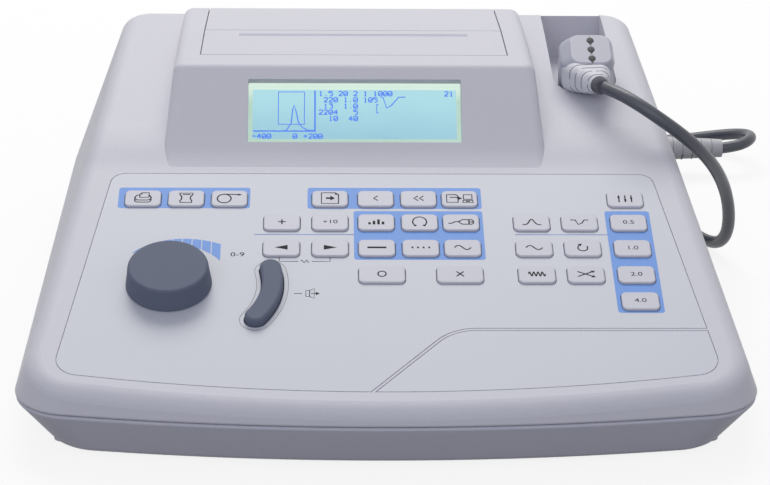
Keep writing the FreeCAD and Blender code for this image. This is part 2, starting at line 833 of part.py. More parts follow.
def upper_shell():
    body, hump = case_solid()
    outer = body.fuse(hump)
    low = size("parting_height") + size("parting_gap")
    wall = size("case_wall")
    inner_body = case_block(low - wall, ABOVE, wall).common(slope_block(wall))
    inner = inner_body.fuse(hump_block(wall))
    shell = outer.cut(inner)

    tub = bay_prism(size("bay_wall"), size("bay_floor") - size("bay_wall"),
                    BAY_FRONT - size("bay_wall"))
    holder = holder_prism(size("holder_wall"), size("holder_floor") - size("holder_wall"))
    nest_start = size("probe_length") - size("holder_wall")
    nest = probe_rod(size("nose_radius") + size("nest_gap") + size("holder_wall"), nest_start,
                     size("nose_length") + 2 * size("holder_wall"))
    nest = nest.cut(holder_prism(0, size("holder_floor")))
    width = size("window_width") + 2 * size("window_rim")
    frame = Part.makeBox(width, size("window_height") + 2 * size("window_rim"), size("window_recess"),
                         Vector(-width / 2, -size("window_below_crest") - size("window_height")
                                - size("window_rim"), -size("window_recess")))
    frame.Placement = DISPLAY
    posts = [on_panel(post(*place)) for place in post_places()]
    bosses = [Part.makeCylinder(size("boss_radius"), ABOVE, Vector(x, y, BOSS_TOP + size("parting_gap")))
              for x, y in screw_places()]
    bearings = hinge_bosses(size("hinge_pin_radius") + size("bay_wall"), size("hinge_pin_length") + wall)
    added = [part.common(outer) for part in [tub, holder, nest, frame] + posts + bosses + bearings]
    shell = shell.fuse(added)

    cavity = case_block(low, ABOVE, wall)
    below_ledge = deck_block(BAY_SEAT + size("bay_ledge_thickness"))
    tools = [bay_prism(0, size("bay_floor"), BAY_FRONT).common(below_ledge).common(cavity),
             bay_prism(-size("bay_ledge"), size("bay_floor"),
                       BAY_FRONT + size("bay_ledge")).common(cavity),
             bay_prism(0, size("bay_floor"), BAY_FRONT).cut(deck_block(BAY_SEAT)),
             bay_prism(0, size("hinge_z") - size("hinge_radius") - size("hinge_gap"),
                       HINGE_Y - size("hinge_radius") - size("hinge_gap")),
             holder_prism(0, size("holder_floor")),
             probe_rod(size("nose_radius") + size("nest_gap"), size("probe_length"),
                       size("nose_length") + size("nest_gap"))]
    tools += hinge_bosses(size("hinge_pin_radius") + size("hinge_fit"),
                          size("hinge_pin_length") + size("nest_gap"))
    window = Part.makeBox(size("window_width"), size("window_height"), 2 * size("window_recess"),
                          Vector(-size("window_width") / 2, -size("window_below_crest")
                                 - size("window_height"), -size("window_recess")))
    window = round_uprights(window, size("window_corner_radius"))
    window.Placement = DISPLAY
    tools.append(window)
    gap = size("panel_gap")
    tools.append(on_panel(panel_outline(gap).cut(plate_corner(size("plate_ridge") - gap))))
    tools.append(on_panel(panel_outline(gap).common(plate_corner(gap))))
    tools += [on_panel(hole) for hole in field_openings(-2 * wall, size("knob_height"))]
    pilot = SCREW_SEAT + size("screw_length") + size("screw_gap")
    tools += [Part.makeCylinder(size("screw_radius"), pilot - BOSS_TOP, Vector(x, y, BOSS_TOP))
              for x, y in screw_places()]
    return shell.cut(tools)


def post_places():
    """Posts stand between the keys, in the keypad's frame."""
    beside_knob = (size("knob_x"), size("row_select") + size("encoder_side"))
    low = size("keypad_board_front") + size("post_radius")
    return [beside_knob,
            (size("knob_x"), low),
            (size("column_b"), low),
            (size("column_reflex"), low),
            (size("column_left"), size("row_top")),
            ((size("column_c") + size("column_tymp")) / 2, size("row_top")),
            (size("column_reflex"), size("row_top"))]


finish(moulding("UpperShell", upper_shell()), "upper_shell")


# ---------------------------------------------------------------- lower shell
FLOOR = size("foot_height") + size("case_wall")
BOARD_UNDERSIDE = FLOOR + size("main_board_lift")
SOCKET_FOOT = BOARD_UNDERSIDE + size("board_thickness")
SOCKET_HEIGHT = 2 * (size("socket_z") - SOCKET_FOOT)
SOCKET_SHARE = (size("parting_height") - size("socket_z")) / (size("parting_height") - size("foot_height"))
SOCKET_FACE = HALF_DEPTH - size("base_rear_inset") * SOCKET_SHARE - size("socket_setback")


def foot_places():
    return [(x * size("foot_x"), y * (HALF_DEPTH - size("foot_inset"))) for x in (1, -1) for y in (1, -1)]


def socket_places():
    """Middle and width of each rear socket."""
    jacks = [(size("jack_x") + side * size("jack_spacing") / 2, size("jack_width")) for side in (-1, 1)]
    return [(size("probe_socket_x"), size("probe_socket_width")),
            (size("data_socket_x"), size("data_socket_width")),
            (size("power_x"), size("jack_width"))] + jacks


def socket_block(place, grow, length):
    """A socket's outline as a bar along Y that ends at the sockets' faces."""
    x, width = place
    return Part.makeBox(width + 2 * grow, length, SOCKET_HEIGHT + 2 * grow,
                        Vector(x - width / 2 - grow, SOCKET_FACE - length, SOCKET_FOOT - grow))


def board_posts():
    """Where the main board's standoffs are."""
    inset = size("main_board_post_inset")
    half_x, half_y = size("main_board_length") / 2 - inset, size("main_board_width") / 2 - inset
    return [(size("main_board_x") + i * half_x, HALF_DEPTH - size("main_board_setback") + j * half_y)
            for i in (-1, 0, 1) for j in (-1, 1)]


def lower_shell():
    outer = case_block(size("foot_height"), size("parting_height"))
    edge = [item for item in outer.Edges if item.BoundBox.ZMax < size("foot_height") + 1e-4]
    outer = outer.makeFillet(size("base_edge_radius"), edge)
    lip = [item for item in outer.Edges if item.BoundBox.ZMin > size("parting_height") - 1e-4]
    outer = outer.makeFillet(size("lip_radius"), lip)
    wall = size("case_wall")
    inner = Part.makeLoft([case_outline(FLOOR, wall), case_outline(size("parting_height"), wall)],
                          True, True)
    lid_off = inner.fuse(case_block(size("parting_height"), ABOVE, wall))
    shell = outer.cut(lid_off)
    bosses = [Part.makeCylinder(size("boss_radius"), size("boss_height") + wall / 2,
                                Vector(x, y, FLOOR - wall / 2)) for x, y in screw_places()]
    standoffs = [Part.makeCylinder(size("post_radius"), size("main_board_lift") + wall / 2,
                                   Vector(x, y, FLOOR - wall / 2)) for x, y in board_posts()]
    shell = shell.fuse(bosses + standoffs)
    foot = size("foot_height")
    tools = [Part.makeCylinder(size("foot_radius") + size("foot_gap"), size("foot_recess"),
                               Vector(x, y, foot)) for x, y in foot_places()]
    for x, y in screw_places():
        tools.append(Part.makeCylinder(size("screw_head_radius") + size("screw_gap"), SCREW_SEAT - foot,
                                       Vector(x, y, foot)))
        tools.append(Part.makeCylinder(size("screw_radius") + size("screw_gap"), FAR,
                                       Vector(x, y, foot)))
    tools += [socket_block(place, size("socket_gap"), size("socket_depth")) for place in socket_places()]
    mouths = [socket_block(place, size("socket_gap"), size("socket_depth")) for place in socket_places()]
    for mouth in mouths:
        mouth.translate(Vector(0, size("socket_depth"), 0))
    return shell.cut(tools + mouths)


finish(moulding("LowerShell", lower_shell()), "lower_shell")

# ---------------------------------------------------------------- feet and screws
feet = [rod(f"Foot{index}", "foot_radius", "foot_height + foot_recess", f"{i} * foot_x",
            f"{j} * ({REAR} - foot_inset)")
        for index, (i, j) in enumerate([(1, 1), (1, -1), (-1, 1), (-1, -1)])]
finish(gather("Feet", feet), "rubber_feet")

screws = []
for index, (side, row) in enumerate([(i, j) for i in (1, -1) for j in (-1, 0, 1)]):
    place = (f"{side} * screw_x", f"{row} * ({REAR} - screw_inset)")
    seat_z = "foot_height + boss_height / 2"
    head = rod(f"ScrewHead{index}", "screw_head_radius", "screw_head_height", *place,
               f"{seat_z} - screw_head_height")
    shank = rod(f"ScrewShank{index}", "screw_radius", "screw_length", *place, seat_z)
    screws.append(fuse(f"Screw{index}", [head, shank]))
finish(gather("Screws", screws), "case_screws")


# ---------------------------------------------------------------- keys
def facing(shape, test):
    """Names of a shape's edges that pass a test."""
    return [f"Edge{index}" for index, edge in enumerate(shape.Edges, start=1) if test(edge)]


def rounding(body, feature, name, radius, test):
    """A fillet in a body, on the edges that pass the test."""
    doc.recompute()
    fillet = body.newObject("PartDesign::Fillet", name)
    fillet.Base = (feature, facing(feature.Shape, test))
    bind(fillet, {"Radius": radius})
    return fillet


def key_block(body, name, width, length, height, z):
    """A block of a key, centred on the key, with its underside at z."""
    block = body.newObject("PartDesign::AdditiveBox", name)
    bind(block, {"Length": width, "Width": length, "Height": height})
    seat(block, f"-({width}) / 2", f"-({length}) / 2", z)
    return block


def key(label, column, row, width):
    body = doc.addObject("PartDesign::Body", f"Key_{label}")
    cap = key_block(body, f"Cap_{label}", width, "key_length", f"{FLANGE_TOP} + key_rise",
                    f"-({FLANGE_TOP})")
    uprights = rounding(body, cap, f"Corners_{label}", "key_corner_radius", is_upright)
    rounding(body, uprights, f"Rim_{label}", "key_edge_radius",
             lambda edge: edge.BoundBox.ZMin > size("key_rise") - 1e-6)
    key_block(body, f"Flange_{label}", f"{width} + 2 * key_flange", "key_length + 2 * key_flange",
              "key_flange_thickness", f"-({FLANGE_FOOT})")
    plunger = body.newObject("PartDesign::AdditiveCylinder", f"Plunger_{label}")
    bind(plunger, {"Radius": "plunger_radius", "Height": "plunger_length"})
    seat(plunger, "0", "0", f"-({FLANGE_FOOT} + plunger_length)")
    seat_on_panel(body, column, row)
    return body


for label, (column, row) in KEYS.items():
    finish(key(label, column, row, width_of(label)), label)

# ---------------------------------------------------------------- keypad board with its domes
board = box("BoardPlate", "2 * keypad_board_half_width", "keypad_board_back - keypad_board_front",
            "board_thickness")
seat_on_panel(board, "-keypad_board_half_width", "keypad_board_front",
              f"-({BOARD_TOP} + board_thickness)")
domes = []
for label, (column, row) in KEYS.items():
    dome = rod(f"Dome_{label}", "dome_radius", "dome_height")
    seat_on_panel(dome, column, row, f"-({BOARD_TOP})")
    domes.append(dome)
finish(fuse("KeyBoard", [board] + domes), "key_board")

# ---------------------------------------------------------------- level knob and its encoder
housing = box("EncoderHousing", "encoder_side", "encoder_side", f"{BOARD_TOP} - case_wall")
seat_on_panel(housing, "knob_x - encoder_side / 2", "knob_s - encoder_side / 2", f"-({BOARD_TOP})")
bush = rod("EncoderBush", "bush_radius", "bush_height")
seat_on_panel(bush, "knob_x", "knob_s", "-case_wall")
bore = rod("EncoderBore", "shaft_radius + shaft_fit", f"{BOARD_TOP} + bush_height")
seat_on_panel(bore, "knob_x", "knob_s", f"-({BOARD_TOP}) + board_thickness")
finish(cut("Encoder", fuse("EncoderBody", [housing, bush]), bore), "rotary_encoder")

shaft = rod("Shaft", "shaft_radius",
            f"{BOARD_TOP} - board_thickness - bush_gap + knob_lift + knob_height - knob_wall")
seat_on_panel(shaft, "knob_x", "knob_s", f"-({BOARD_TOP}) + board_thickness + bush_gap")
finish(shaft, "knob_shaft")


def level_knob():
    """A hollow cap with a hub that grips the shaft."""
    radius, top_radius, height = (size(name) for name in ("knob_radius", "knob_top_radius", "knob_height"))
    wall = size("knob_wall")
    cap = Part.makeCone(radius, top_radius, height, Vector(0, 0, size("knob_lift")))
    top = size("knob_lift") + height
    rim = [edge for edge in cap.Edges if edge.BoundBox.ZMin > top - 1e-6]
    cap = cap.makeFillet(size("knob_edge_radius"), rim)
    ceiling = height - wall
    hollow = Part.makeCone(radius - wall, top_radius - wall, ceiling, Vector(0, 0, size("knob_lift")))
    hub_foot = size("bush_height") - size("case_wall") + size("bush_gap")
    hub = Part.makeCylinder(size("hub_radius"), top - wall / 2 - hub_foot, Vector(0, 0, hub_foot))
    grip = Part.makeCylinder(size("shaft_radius"), size("knob_lift") + ceiling)
    return cap.cut(hollow).fuse(hub).cut(grip)


finish(moulding("LevelKnob", level_knob(),
                PANEL.multiply(Placement(Vector(size("knob_x"), size("knob_s"), 0), Rotation()))),
       "level_knob")


# ---------------------------------------------------------------- tone bar
def tone_bar():
    """The bent bar, its flange under the deck and two short plungers."""
    top = size("tone_rise")
    flange_top = size("case_wall") + size("key_stop_gap")
    flange_foot = flange_top + size("key_flange_thickness")
    bar = tone_sector(0, -flange_top, top)
    rim = [edge for edge in bar.Edges if edge.BoundBox.ZMin > top - 1e-6]
    bar = bar.makeFillet(size("tone_edge_radius"), rim)
    flange = tone_sector(size("key_flange"), -flange_foot, -flange_top)
    plungers = []
    for angle in (size("tone_start"), size("tone_end")):
        turned = math.radians(angle)
        length = size("plunger_length") + size("key_travel") - size("tone_travel")
        foot = Vector(size("tone_x") + size("tone_bend_radius") * math.cos(turned),
                      size("tone_s") + size("tone_bend_radius") * math.sin(turned), -flange_foot - length)
        plungers.append(Part.makeCylinder(size("plunger_radius"), length, foot))
    return bar.fuse([flange] + plungers)


finish(moulding("ToneBar", tone_bar(), PANEL), "tone_bar")


# ---------------------------------------------------------------- display
def seat_on_display(item, x, t, n):
    """Places a piece in the display face's frame: its origin is the crest, t runs up the face."""
    item.Placement = Placement(Vector(), Rotation(Vector(1, 0, 0), size("display_tilt")))
    bind(item, {"Placement.Rotation.Angle": "display_tilt"})
    crest_y = f"{REAR} - hump_crest_setback"
    seat(item, f"hump_x + {x}",
         f"{crest_y} + ({t}) * cos(display_tilt) - ({n}) * sin(display_tilt)",
         f"hump_crest_height + ({t}) * sin(display_tilt) + ({n}) * cos(display_tilt)")


LENS_FOOT = "window_recess + lens_thickness"
lens = box("Lens", "window_width + 2 * lens_lap", "window_height + 2 * lens_lap", "lens_thickness")
seat_on_display(lens, "(-window_width / 2 - lens_lap)", "-window_below_crest - window_height - lens_lap",
                f"-({LENS_FOOT})")
finish(lens, "display_window")
lcd = box("Lcd", "window_width + 2 * lcd_margin", "window_height + 2 * lcd_margin", "lcd_thickness")
seat_on_display(lcd, "(-window_width / 2 - lcd_margin)",
                "-window_below_crest - window_height - lcd_margin",
                f"-({LENS_FOOT} + lcd_gap + lcd_thickness)")
finish(lcd, "lcd_module")


# ---------------------------------------------------------------- printer covers
def cover_part(front, rear):
    """A skin of the decks over the bay, between two places along Y."""
    half = size("bay_half_width") - size("cover_gap")
    reach = Part.makeBox(2 * half, rear - front, ABOVE - size("bay_floor"),
                         Vector(size("hump_x") - half, front, size("bay_floor")))
    hump = case_solid()[1]
    inside = deck_block(size("cover_thickness")).common(
        case_block(size("parting_height"), ABOVE, size("cover_thickness")))
    return hump.common(reach).cut(inside)


def printer_cover():
    front = BAY_FRONT + size("cover_gap")
    cover = cover_part(front, CREASE_Y - size("cover_gap") / 2)
    slot_y = CREASE_Y - size("slot_ahead")
    slot = Part.makeBox(size("slot_length"), size("slot_width"), FAR,
                        Vector(size("hump_x") - size("slot_length") / 2,
                               slot_y - size("slot_width") / 2, size("bay_floor")))
    return cover.cut(slot)


finish(moulding("PrinterCover", printer_cover()), "printer_cover")


def paper_lid():
    """The rear cover with its skirt, hinge barrel and stub pins."""
    lid = cover_part(CREASE_Y + size("cover_gap") / 2, FAR)
    below = Part.makeBox(2 * FAR, 2 * FAR, size("hinge_z") - size("bay_floor"),
                         Vector(-FAR, -FAR, size("bay_floor")))
    half = size("bay_half_width") - size("cover_gap")
    barrel = hinge_rod(size("hinge_radius"), -half, 2 * half)
    reach = size("bay_half_width") + size("hinge_pin_length")
    pins = hinge_rod(size("hinge_pin_radius"), -reach, 2 * reach)
    return lid.cut(below).fuse([barrel, pins])


finish(moulding("PaperLid", paper_lid()), "paper_lid")

# ---------------------------------------------------------------- printer works
PLATEN_Y = f"{BAY} + platen_behind"
CHEEK_IN = "platen_length / 2 + cheek_gap"
CHEEK_OUT = f"{CHEEK_IN} + cheek_thickness"
CHEEK_FRONT = f"{BAY} + cheek_front_behind"
CHEEK_RUN = "cheek_rear_behind - cheek_front_behind"
base = box("FrameBase", f"2 * ({CHEEK_OUT})", CHEEK_RUN, "frame_base",
           f"hump_x - ({CHEEK_OUT})", CHEEK_FRONT, "bay_floor")
cheeks = [box(f"Cheek{index}", "cheek_thickness", CHEEK_RUN, "cheek_top - bay_floor", x, CHEEK_FRONT,
              "bay_floor") for index, x in enumerate((f"hump_x - ({CHEEK_OUT})", f"hump_x + {CHEEK_IN}"))]
pin_bore = rod("PlatenBore", "platen_pin_radius + platen_fit", f"2 * ({CHEEK_OUT})",
               f"hump_x - ({CHEEK_OUT})", PLATEN_Y, "platen_z", "x")
finish(cut("PrinterFrame", fuse("FrameBlank", [base] + cheeks), pin_bore), "printer_frame")

platen = rod("PlatenCore", "platen_radius", "platen_length", "hump_x - platen_length / 2", PLATEN_Y,
             "platen_z", "x")
pins = rod("PlatenPins", "platen_pin_radius", f"2 * ({CHEEK_OUT})", f"hump_x - ({CHEEK_OUT})",
           PLATEN_Y, "platen_z", "x")
finish(fuse("Platen", [platen, pins]), "platen_roller")

finish(box("HeadBar", f"2 * ({CHEEK_IN})", "head_bar", "head_height", f"hump_x - ({CHEEK_IN})",
           f"{PLATEN_Y} + platen_radius + head_gap", "cheek_top - head_height"), "print_head")

finish(rod("Motor", "motor_radius", "motor_length", f"hump_x + {CHEEK_OUT}", f"{BAY} + motor_behind",
           "bay_floor + frame_base + motor_radius", "x"), "printer_motor")

ROLL_PLACE = ("hump_x - roll_width / 2", f"{REAR} - roll_setback", "bay_floor + roll_gap + roll_radius")
paper = rod("PaperOuter", "roll_radius", "roll_width", *ROLL_PLACE, "x")
core = rod("PaperCore", "roll_core_radius", "roll_width", *ROLL_PLACE, "x")
finish(cut("PaperRoll", paper, core), "paper_roll")

# ---------------------------------------------------------------- main board and air pump
finish(box("MainBoard", "main_board_length", "main_board_width", "board_thickness",
           "main_board_x - main_board_length / 2", f"{REAR} - main_board_setback - main_board_width / 2",
           "foot_height + case_wall + main_board_lift"), "main_board")

PUMP_X = "case_width / 2 - pump_side_inset"
PUMP_Y = f"pump_front_inset - {REAR}"
pump_z = "foot_height + case_wall"
pump = box("PumpBody", "pump_length", "pump_width", "pump_height", f"{PUMP_X} - pump_length / 2",
           f"{PUMP_Y} - pump_width / 2", pump_z)
pump_head = rod("PumpHead", "pump_head_radius", "pump_head_height", PUMP_X, PUMP_Y,
                f"{pump_z} + pump_height")
finish(fuse("AirPump", [pump, pump_head]), "air_pump")


# ---------------------------------------------------------------- rear sockets
def tongue(grow, length):
    """The part of the probe's plug that goes into its socket."""
    width = size("probe_socket_width") - 4 * size("socket_wall")
    height = SOCKET_HEIGHT - 4 * size("socket_wall")
    return Part.makeBox(width + 2 * grow, length, height + 2 * grow,
                        Vector(size("probe_socket_x") - width / 2 - grow, SOCKET_FACE - length,
                               size("socket_z") - height / 2 - grow))


def bored(place, radius, length):
    x = place[0]
    return Part.makeCylinder(radius, length, Vector(x, SOCKET_FACE - length, size("socket_z")),
                             Vector(0, 1, 0))


def rear_sockets():
    probe, data, power, *jacks = socket_places()
    wall = size("socket_wall")
    probe_socket = socket_block(probe, 0, size("socket_depth")).cut(
        tongue(size("socket_gap"), size("socket_depth") - wall))
    pocket = socket_block((data[0], data[1] - 2 * wall), -wall, size("socket_depth") + wall)
    pocket.translate(Vector(0, 2 * wall, 0))
    data_socket = socket_block(data, 0, size("socket_depth")).cut(pocket)
    power_socket = socket_block(power, 0, size("socket_depth")).cut(
        bored(power, size("power_bore_radius"), size("power_bore_length")))
    jack_sockets = [socket_block(place, 0, size("jack_length")).cut(
        bored(place, size("jack_bore_radius"), size("jack_bore_length"))) for place in jacks]
    return Part.makeCompound([probe_socket, data_socket, power_socket] + jack_sockets)


finish(moulding("RearSockets", rear_sockets()), "rear_sockets")


# ---------------------------------------------------------------- probe plug
RELIEF_START = Vector(size("plug_relief_x"), HALF_DEPTH + size("plug_relief_behind"),
                      size("plug_relief_z"))


def probe_plug():
    """Hood with a tongue in front and a segmented relief out of its side."""
    face = HALF_DEPTH + size("plug_gap")
    x, z = size("probe_socket_x"), size("plug_relief_z")
    width, depth, height = size("plug_width"), size("plug_depth"), size("plug_height")
    hood = Part.makeBox(width, depth, height, Vector(x - width / 2, face, z - height / 2))
    hood = hood.makeFillet(size("plug_edge_radius"), hood.Edges)
    blade = tongue(0, size("socket_depth") - 2 * size("socket_wall"))
    root = tongue(0, face - SOCKET_FACE + size("plug_edge_radius"))
    root.translate(Vector(0, face - SOCKET_FACE + size("plug_edge_radius"), 0))
    neck_start = RELIEF_START - Vector(RELIEF_START.x - x - width / 2 + size("plug_edge_radius"), 0, 0)
    neck = Part.makeCylinder(size("plug_neck_radius"), RELIEF_START.x - neck_start.x, neck_start,
                             Vector(1, 0, 0))
    relief = Part.makeCone(size("plug_relief_radius"), size("plug_relief_tip_radius"),
                           size("plug_relief_length"), RELIEF_START, Vector(1, 0, 0))
    return hood.fuse([blade, root, neck, relief])


finish(moulding("ProbePlug", probe_plug()), "probe_plug")


# ---------------------------------------------------------------- hand-held probe
def rounded_ring(width, depth, radius, z):
    """A rectangle with round corners at height z, as one wire."""
    plain = Part.makeBox(width, depth, 1, Vector(-width / 2, -depth / 2, z))
    plain = round_uprights(plain, radius)
    low = min(plain.Faces, key=lambda face: face.CenterOfMass.z)
    return low.OuterWire


def probe_body():
    shoulder = rounded_ring(size("probe_width"), size("probe_thickness"), size("probe_corner_radius"),
                            -size("probe_crown_drop"))
    crown = rounded_ring(size("probe_crown_width"), size("probe_crown_thickness"),
                         size("probe_crown_corner_radius"), 0)
    crown.translate(Vector(size("probe_crown_shift"), 0, 0))
    waist = rounded_ring(size("probe_waist_width"), size("probe_waist_thickness"),
                         size("probe_corner_radius"), NOSE_TOP)
    drop = size("probe_crown_drop")
    body = Part.makeLoft([waist, shoulder, crown], True, True)
    rim = [edge for edge in body.Edges if edge.BoundBox.ZMin > -1e-6]
    body = body.makeFillet(size("probe_edge_radius"), rim)
    bulge = [edge for edge in body.Edges
             if abs(edge.BoundBox.ZMin + drop) < 1e-6 and edge.BoundBox.ZLength < 1e-6]
    return body.makeFillet(size("probe_shoulder_radius"), bulge)


finish(moulding("ProbeBody", probe_body(), PROBE), "probe_body")

nose = Part.makeCylinder(size("nose_radius"), size("nose_length"),
                         Vector(0, 0, NOSE_TOP - size("nose_length")))
tip_edges = [edge for edge in nose.Edges if edge.BoundBox.ZMax < NOSE_TOP - size("nose_length") / 2]
nose = nose.makeFillet(size("nose_tip_radius"), tip_edges)
collar = Part.makeCylinder(size("nose_collar_radius"), size("nose_collar_length"),
                           Vector(0, 0, NOSE_TOP - size("nose_collar_length")))
finish(moulding("ProbeNose", nose.fuse(collar), PROBE), "probe_nose")


def relief_axis():
    """Unit vector from the probe's front out along its strain relief."""
    yaw, rise = math.radians(size("relief_yaw")), math.radians(size("relief_rise"))
    return Vector(math.sin(yaw) * math.cos(rise), -math.cos(yaw) * math.cos(rise), math.sin(rise))


RELIEF_ROOT = PROBE.multVec(Vector(0, -size("probe_thickness") / 2, -size("relief_drop")))
RELIEF_TIP = RELIEF_ROOT + relief_axis() * size("relief_length")


def probe_relief():
    """A ribbed bell from the probe's front to the cable."""
    steps = int(size("relief_ribs")) * 2
    start = -size("relief_root")
    sections = []
    for index in range(steps + 1):
        share = index / steps
        ease = share ** size("relief_swell")
        groove = size("relief_rib_depth") * (index % 2)
        width, height = (size(name) + (2 * size("relief_tip_radius") - size(name)) * ease
                         for name in ("relief_base_width", "relief_base_height"))
        radius = (min(width, height) / 2 - groove - size("relief_corner") * (1 - share)
                  - size("relief_side_flat") / 2)
        at = start + (size("relief_length") - start) * share
        sections.append(rounded_ring(width - 2 * groove, height - 2 * groove, radius, at))
    bell = Part.makeLoft(sections, True, True)
    direction = relief_axis()
    bell.Placement = Placement(RELIEF_ROOT, Rotation(Vector(1, 0, 0), Vector(), direction, "ZXY"))
    body = probe_body()
    body.Placement = PROBE
    return bell.cut(body)


finish(moulding("ProbeRelief", probe_relief()), "probe_relief")


# ---------------------------------------------------------------- cable
def cord_path(label, points):
    """Straight runs joined by tangent arcs, each as large as its two runs allow."""
    edges = []
    radii = []
    last = points[0]
    for before, corner, after in zip(points, points[1:], points[2:]):
        arriving, leaving = (corner - before).normalize(), (after - corner).normalize()
        turn = arriving.getAngle(leaving)
        setback = CORNER_SHARE * min(corner.distanceToPoint(before), corner.distanceToPoint(after))
        radii.append(setback / math.tan(turn / 2))
        start, end = corner - arriving * setback, corner + leaving * setback
        bisector = (leaving - arriving).normalize()
        middle = corner + bisector * (radii[-1] / math.cos(turn / 2) - radii[-1])
        edges.append(Part.LineSegment(last, start).toShape())
        edges.append(Part.Arc(start, middle, end).toShape())
        last = end
    edges.append(Part.LineSegment(last, points[-1]).toShape())
    print(label, "bend radii", [round(radius) for radius in radii])
    return Part.Wire(edges)


def cord_tube(label, points):
    """The cable's round section swept along its route."""
    path = cord_path(label, points)
    start = Part.Circle(points[0], points[1] - points[0], size("cable_diameter") / 2).toShape()
    tube = path.makePipeShell([Part.Wire(start)], True, False)
    expected = math.pi * size("cable_diameter") ** 2 / 4 * path.Length
    print(label, "length", round(path.Length, 1), "volume over section times length",
          round(tube.Volume / expected, 5))
    return tube


CORNER_SHARE = 0.45
ON_TABLE = size("cable_diameter") / 2
ON_TURN = 1.5 * size("cable_diameter")
PLUG_TIP = RELIEF_START + Vector(size("plug_relief_length"), 0, 0)
COIL_OUT = size("coil_radius") + (size("coil_width") - size("cable_diameter")) / 2
COIL_SIDE = Vector(size("coil_x"), HALF_DEPTH + size("coil_behind"), 0)

front_points = [
    RELIEF_TIP, Vector(131.5, 30, 122.6), Vector(142.6, 17.5, 119.8), Vector(154.5, 12.5, 112.9),
    Vector(166.5, 14.5, 103.6), Vector(179, 22.5, 91.2), Vector(190.5, 36.5, 75.2),
    Vector(199.5, 52, 57), Vector(204.8, 65.5, 39), Vector(206.8, 78, 22.5), Vector(204.2, 91, 10.3),
    Vector(198, 105, 4.7), Vector(190, 120.5, ON_TABLE), Vector(185.6, 140, ON_TABLE),
    Vector(184.6, 162, ON_TABLE), Vector(181, 182, ON_TABLE), Vector(169.5, 199, ON_TABLE),
    Vector(151.5, 209, ON_TABLE), Vector(127, 211.5, ON_TABLE), Vector(97, 209, ON_TABLE),
    Vector(65, 205.2, ON_TABLE), Vector(32, 202.6, ON_TABLE),
    COIL_SIDE + Vector(0, -COIL_OUT, ON_TABLE)]
rear_points = [
    PLUG_TIP, Vector(237, 222.6, 18.2), Vector(247, 228, 19.4), Vector(252.2, 238, 19),
    Vector(249.5, 249, 16.8), Vector(240, 257, 13.8), Vector(226, 262, 10.5), Vector(207, 265.5, 6.7),
    Vector(185, 268.4, 4.4), Vector(158, 272, ON_TABLE), Vector(127, 278, ON_TABLE),
    Vector(95, 286, 4.6), Vector(64, 293, 7.4), Vector(33, 297, 10.2),
    COIL_SIDE + Vector(0, COIL_OUT, ON_TURN)]
finish(moulding("CableFront", cord_tube("cable_front", front_points)), "cable_front")
finish(moulding("CableRear", cord_tube("cable_rear", rear_points)), "cable_rear")


def cable_coil():
    """Outer shape of the put-away turns, lying behind the case."""
    half = size("coil_width") / 2
    ring = Part.makeCylinder(size("coil_radius") + half, size("coil_height"), COIL_SIDE)
    hole = Part.makeCylinder(size("coil_radius") - half, size("coil_height"), COIL_SIDE)
    return ring.cut(hole)


finish(moulding("CableCoil", cable_coil()), "cable_coil")

# ---------------------------------------------------------------- check and write
doc.recompute()
for item in doc.Objects:
    if "Invalid" in item.State or "Error" in item.State:
        raise RuntimeError(f"{item.Label} did not build: {item.State}")
for node in NODES:
    if node.Shape.isNull() or not node.Shape.isValid() or not node.Shape.Solids:
        raise RuntimeError(f"{node.Label} has no sound solid")

os.makedirs("parts", exist_ok=True)
for node in NODES:
    node.Shape.exportStep(f"parts/{node.Label}.step")
print(len(NODES), "sub-parts written")
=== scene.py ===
import json
import math

import bmesh
import bpy
from mathutils import Matrix, Quaternion, Vector
from mathutils.bvhtree import BVHTree


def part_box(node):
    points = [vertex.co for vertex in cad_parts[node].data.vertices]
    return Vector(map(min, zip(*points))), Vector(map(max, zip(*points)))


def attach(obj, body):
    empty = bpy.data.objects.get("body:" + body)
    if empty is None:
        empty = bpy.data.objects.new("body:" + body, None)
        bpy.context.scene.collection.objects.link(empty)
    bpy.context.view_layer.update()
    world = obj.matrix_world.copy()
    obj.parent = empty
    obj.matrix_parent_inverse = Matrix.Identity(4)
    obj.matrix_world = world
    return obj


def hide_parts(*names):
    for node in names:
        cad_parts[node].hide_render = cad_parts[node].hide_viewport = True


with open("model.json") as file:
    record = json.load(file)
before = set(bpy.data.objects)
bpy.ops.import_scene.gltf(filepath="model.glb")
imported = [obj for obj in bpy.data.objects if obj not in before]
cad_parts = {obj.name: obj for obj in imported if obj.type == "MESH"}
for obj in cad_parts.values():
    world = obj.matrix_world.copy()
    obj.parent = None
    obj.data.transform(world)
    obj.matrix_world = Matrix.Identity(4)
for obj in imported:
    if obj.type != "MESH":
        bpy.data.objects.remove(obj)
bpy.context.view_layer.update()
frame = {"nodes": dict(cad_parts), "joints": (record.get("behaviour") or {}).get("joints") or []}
nodes = frame["nodes"]
joints = {joint["name"]: joint for joint in frame["joints"]}
MM = 0.001

# -------------------- table and studio
# A white laminate table under a wide soft lamp that hangs behind and above the desk, with
# weak daylight all round and a little more of it from a window in front.  The camera stands
# where a person leans over the keypad.


def linear(hex_colour):
    """Turns an sRGB hex colour into linear red, green, blue and alpha."""
    channels = [int(hex_colour[i:i + 2], 16) / 255 for i in (1, 3, 5)]
    return [c / 12.92 if c <= 0.04045 else ((c + 0.055) / 1.055) ** 2.4 for c in channels] + [1.0]


def first_output(source):
    """A node stands for its first output; a socket is itself."""
    return getattr(source, "outputs", [source])[0]


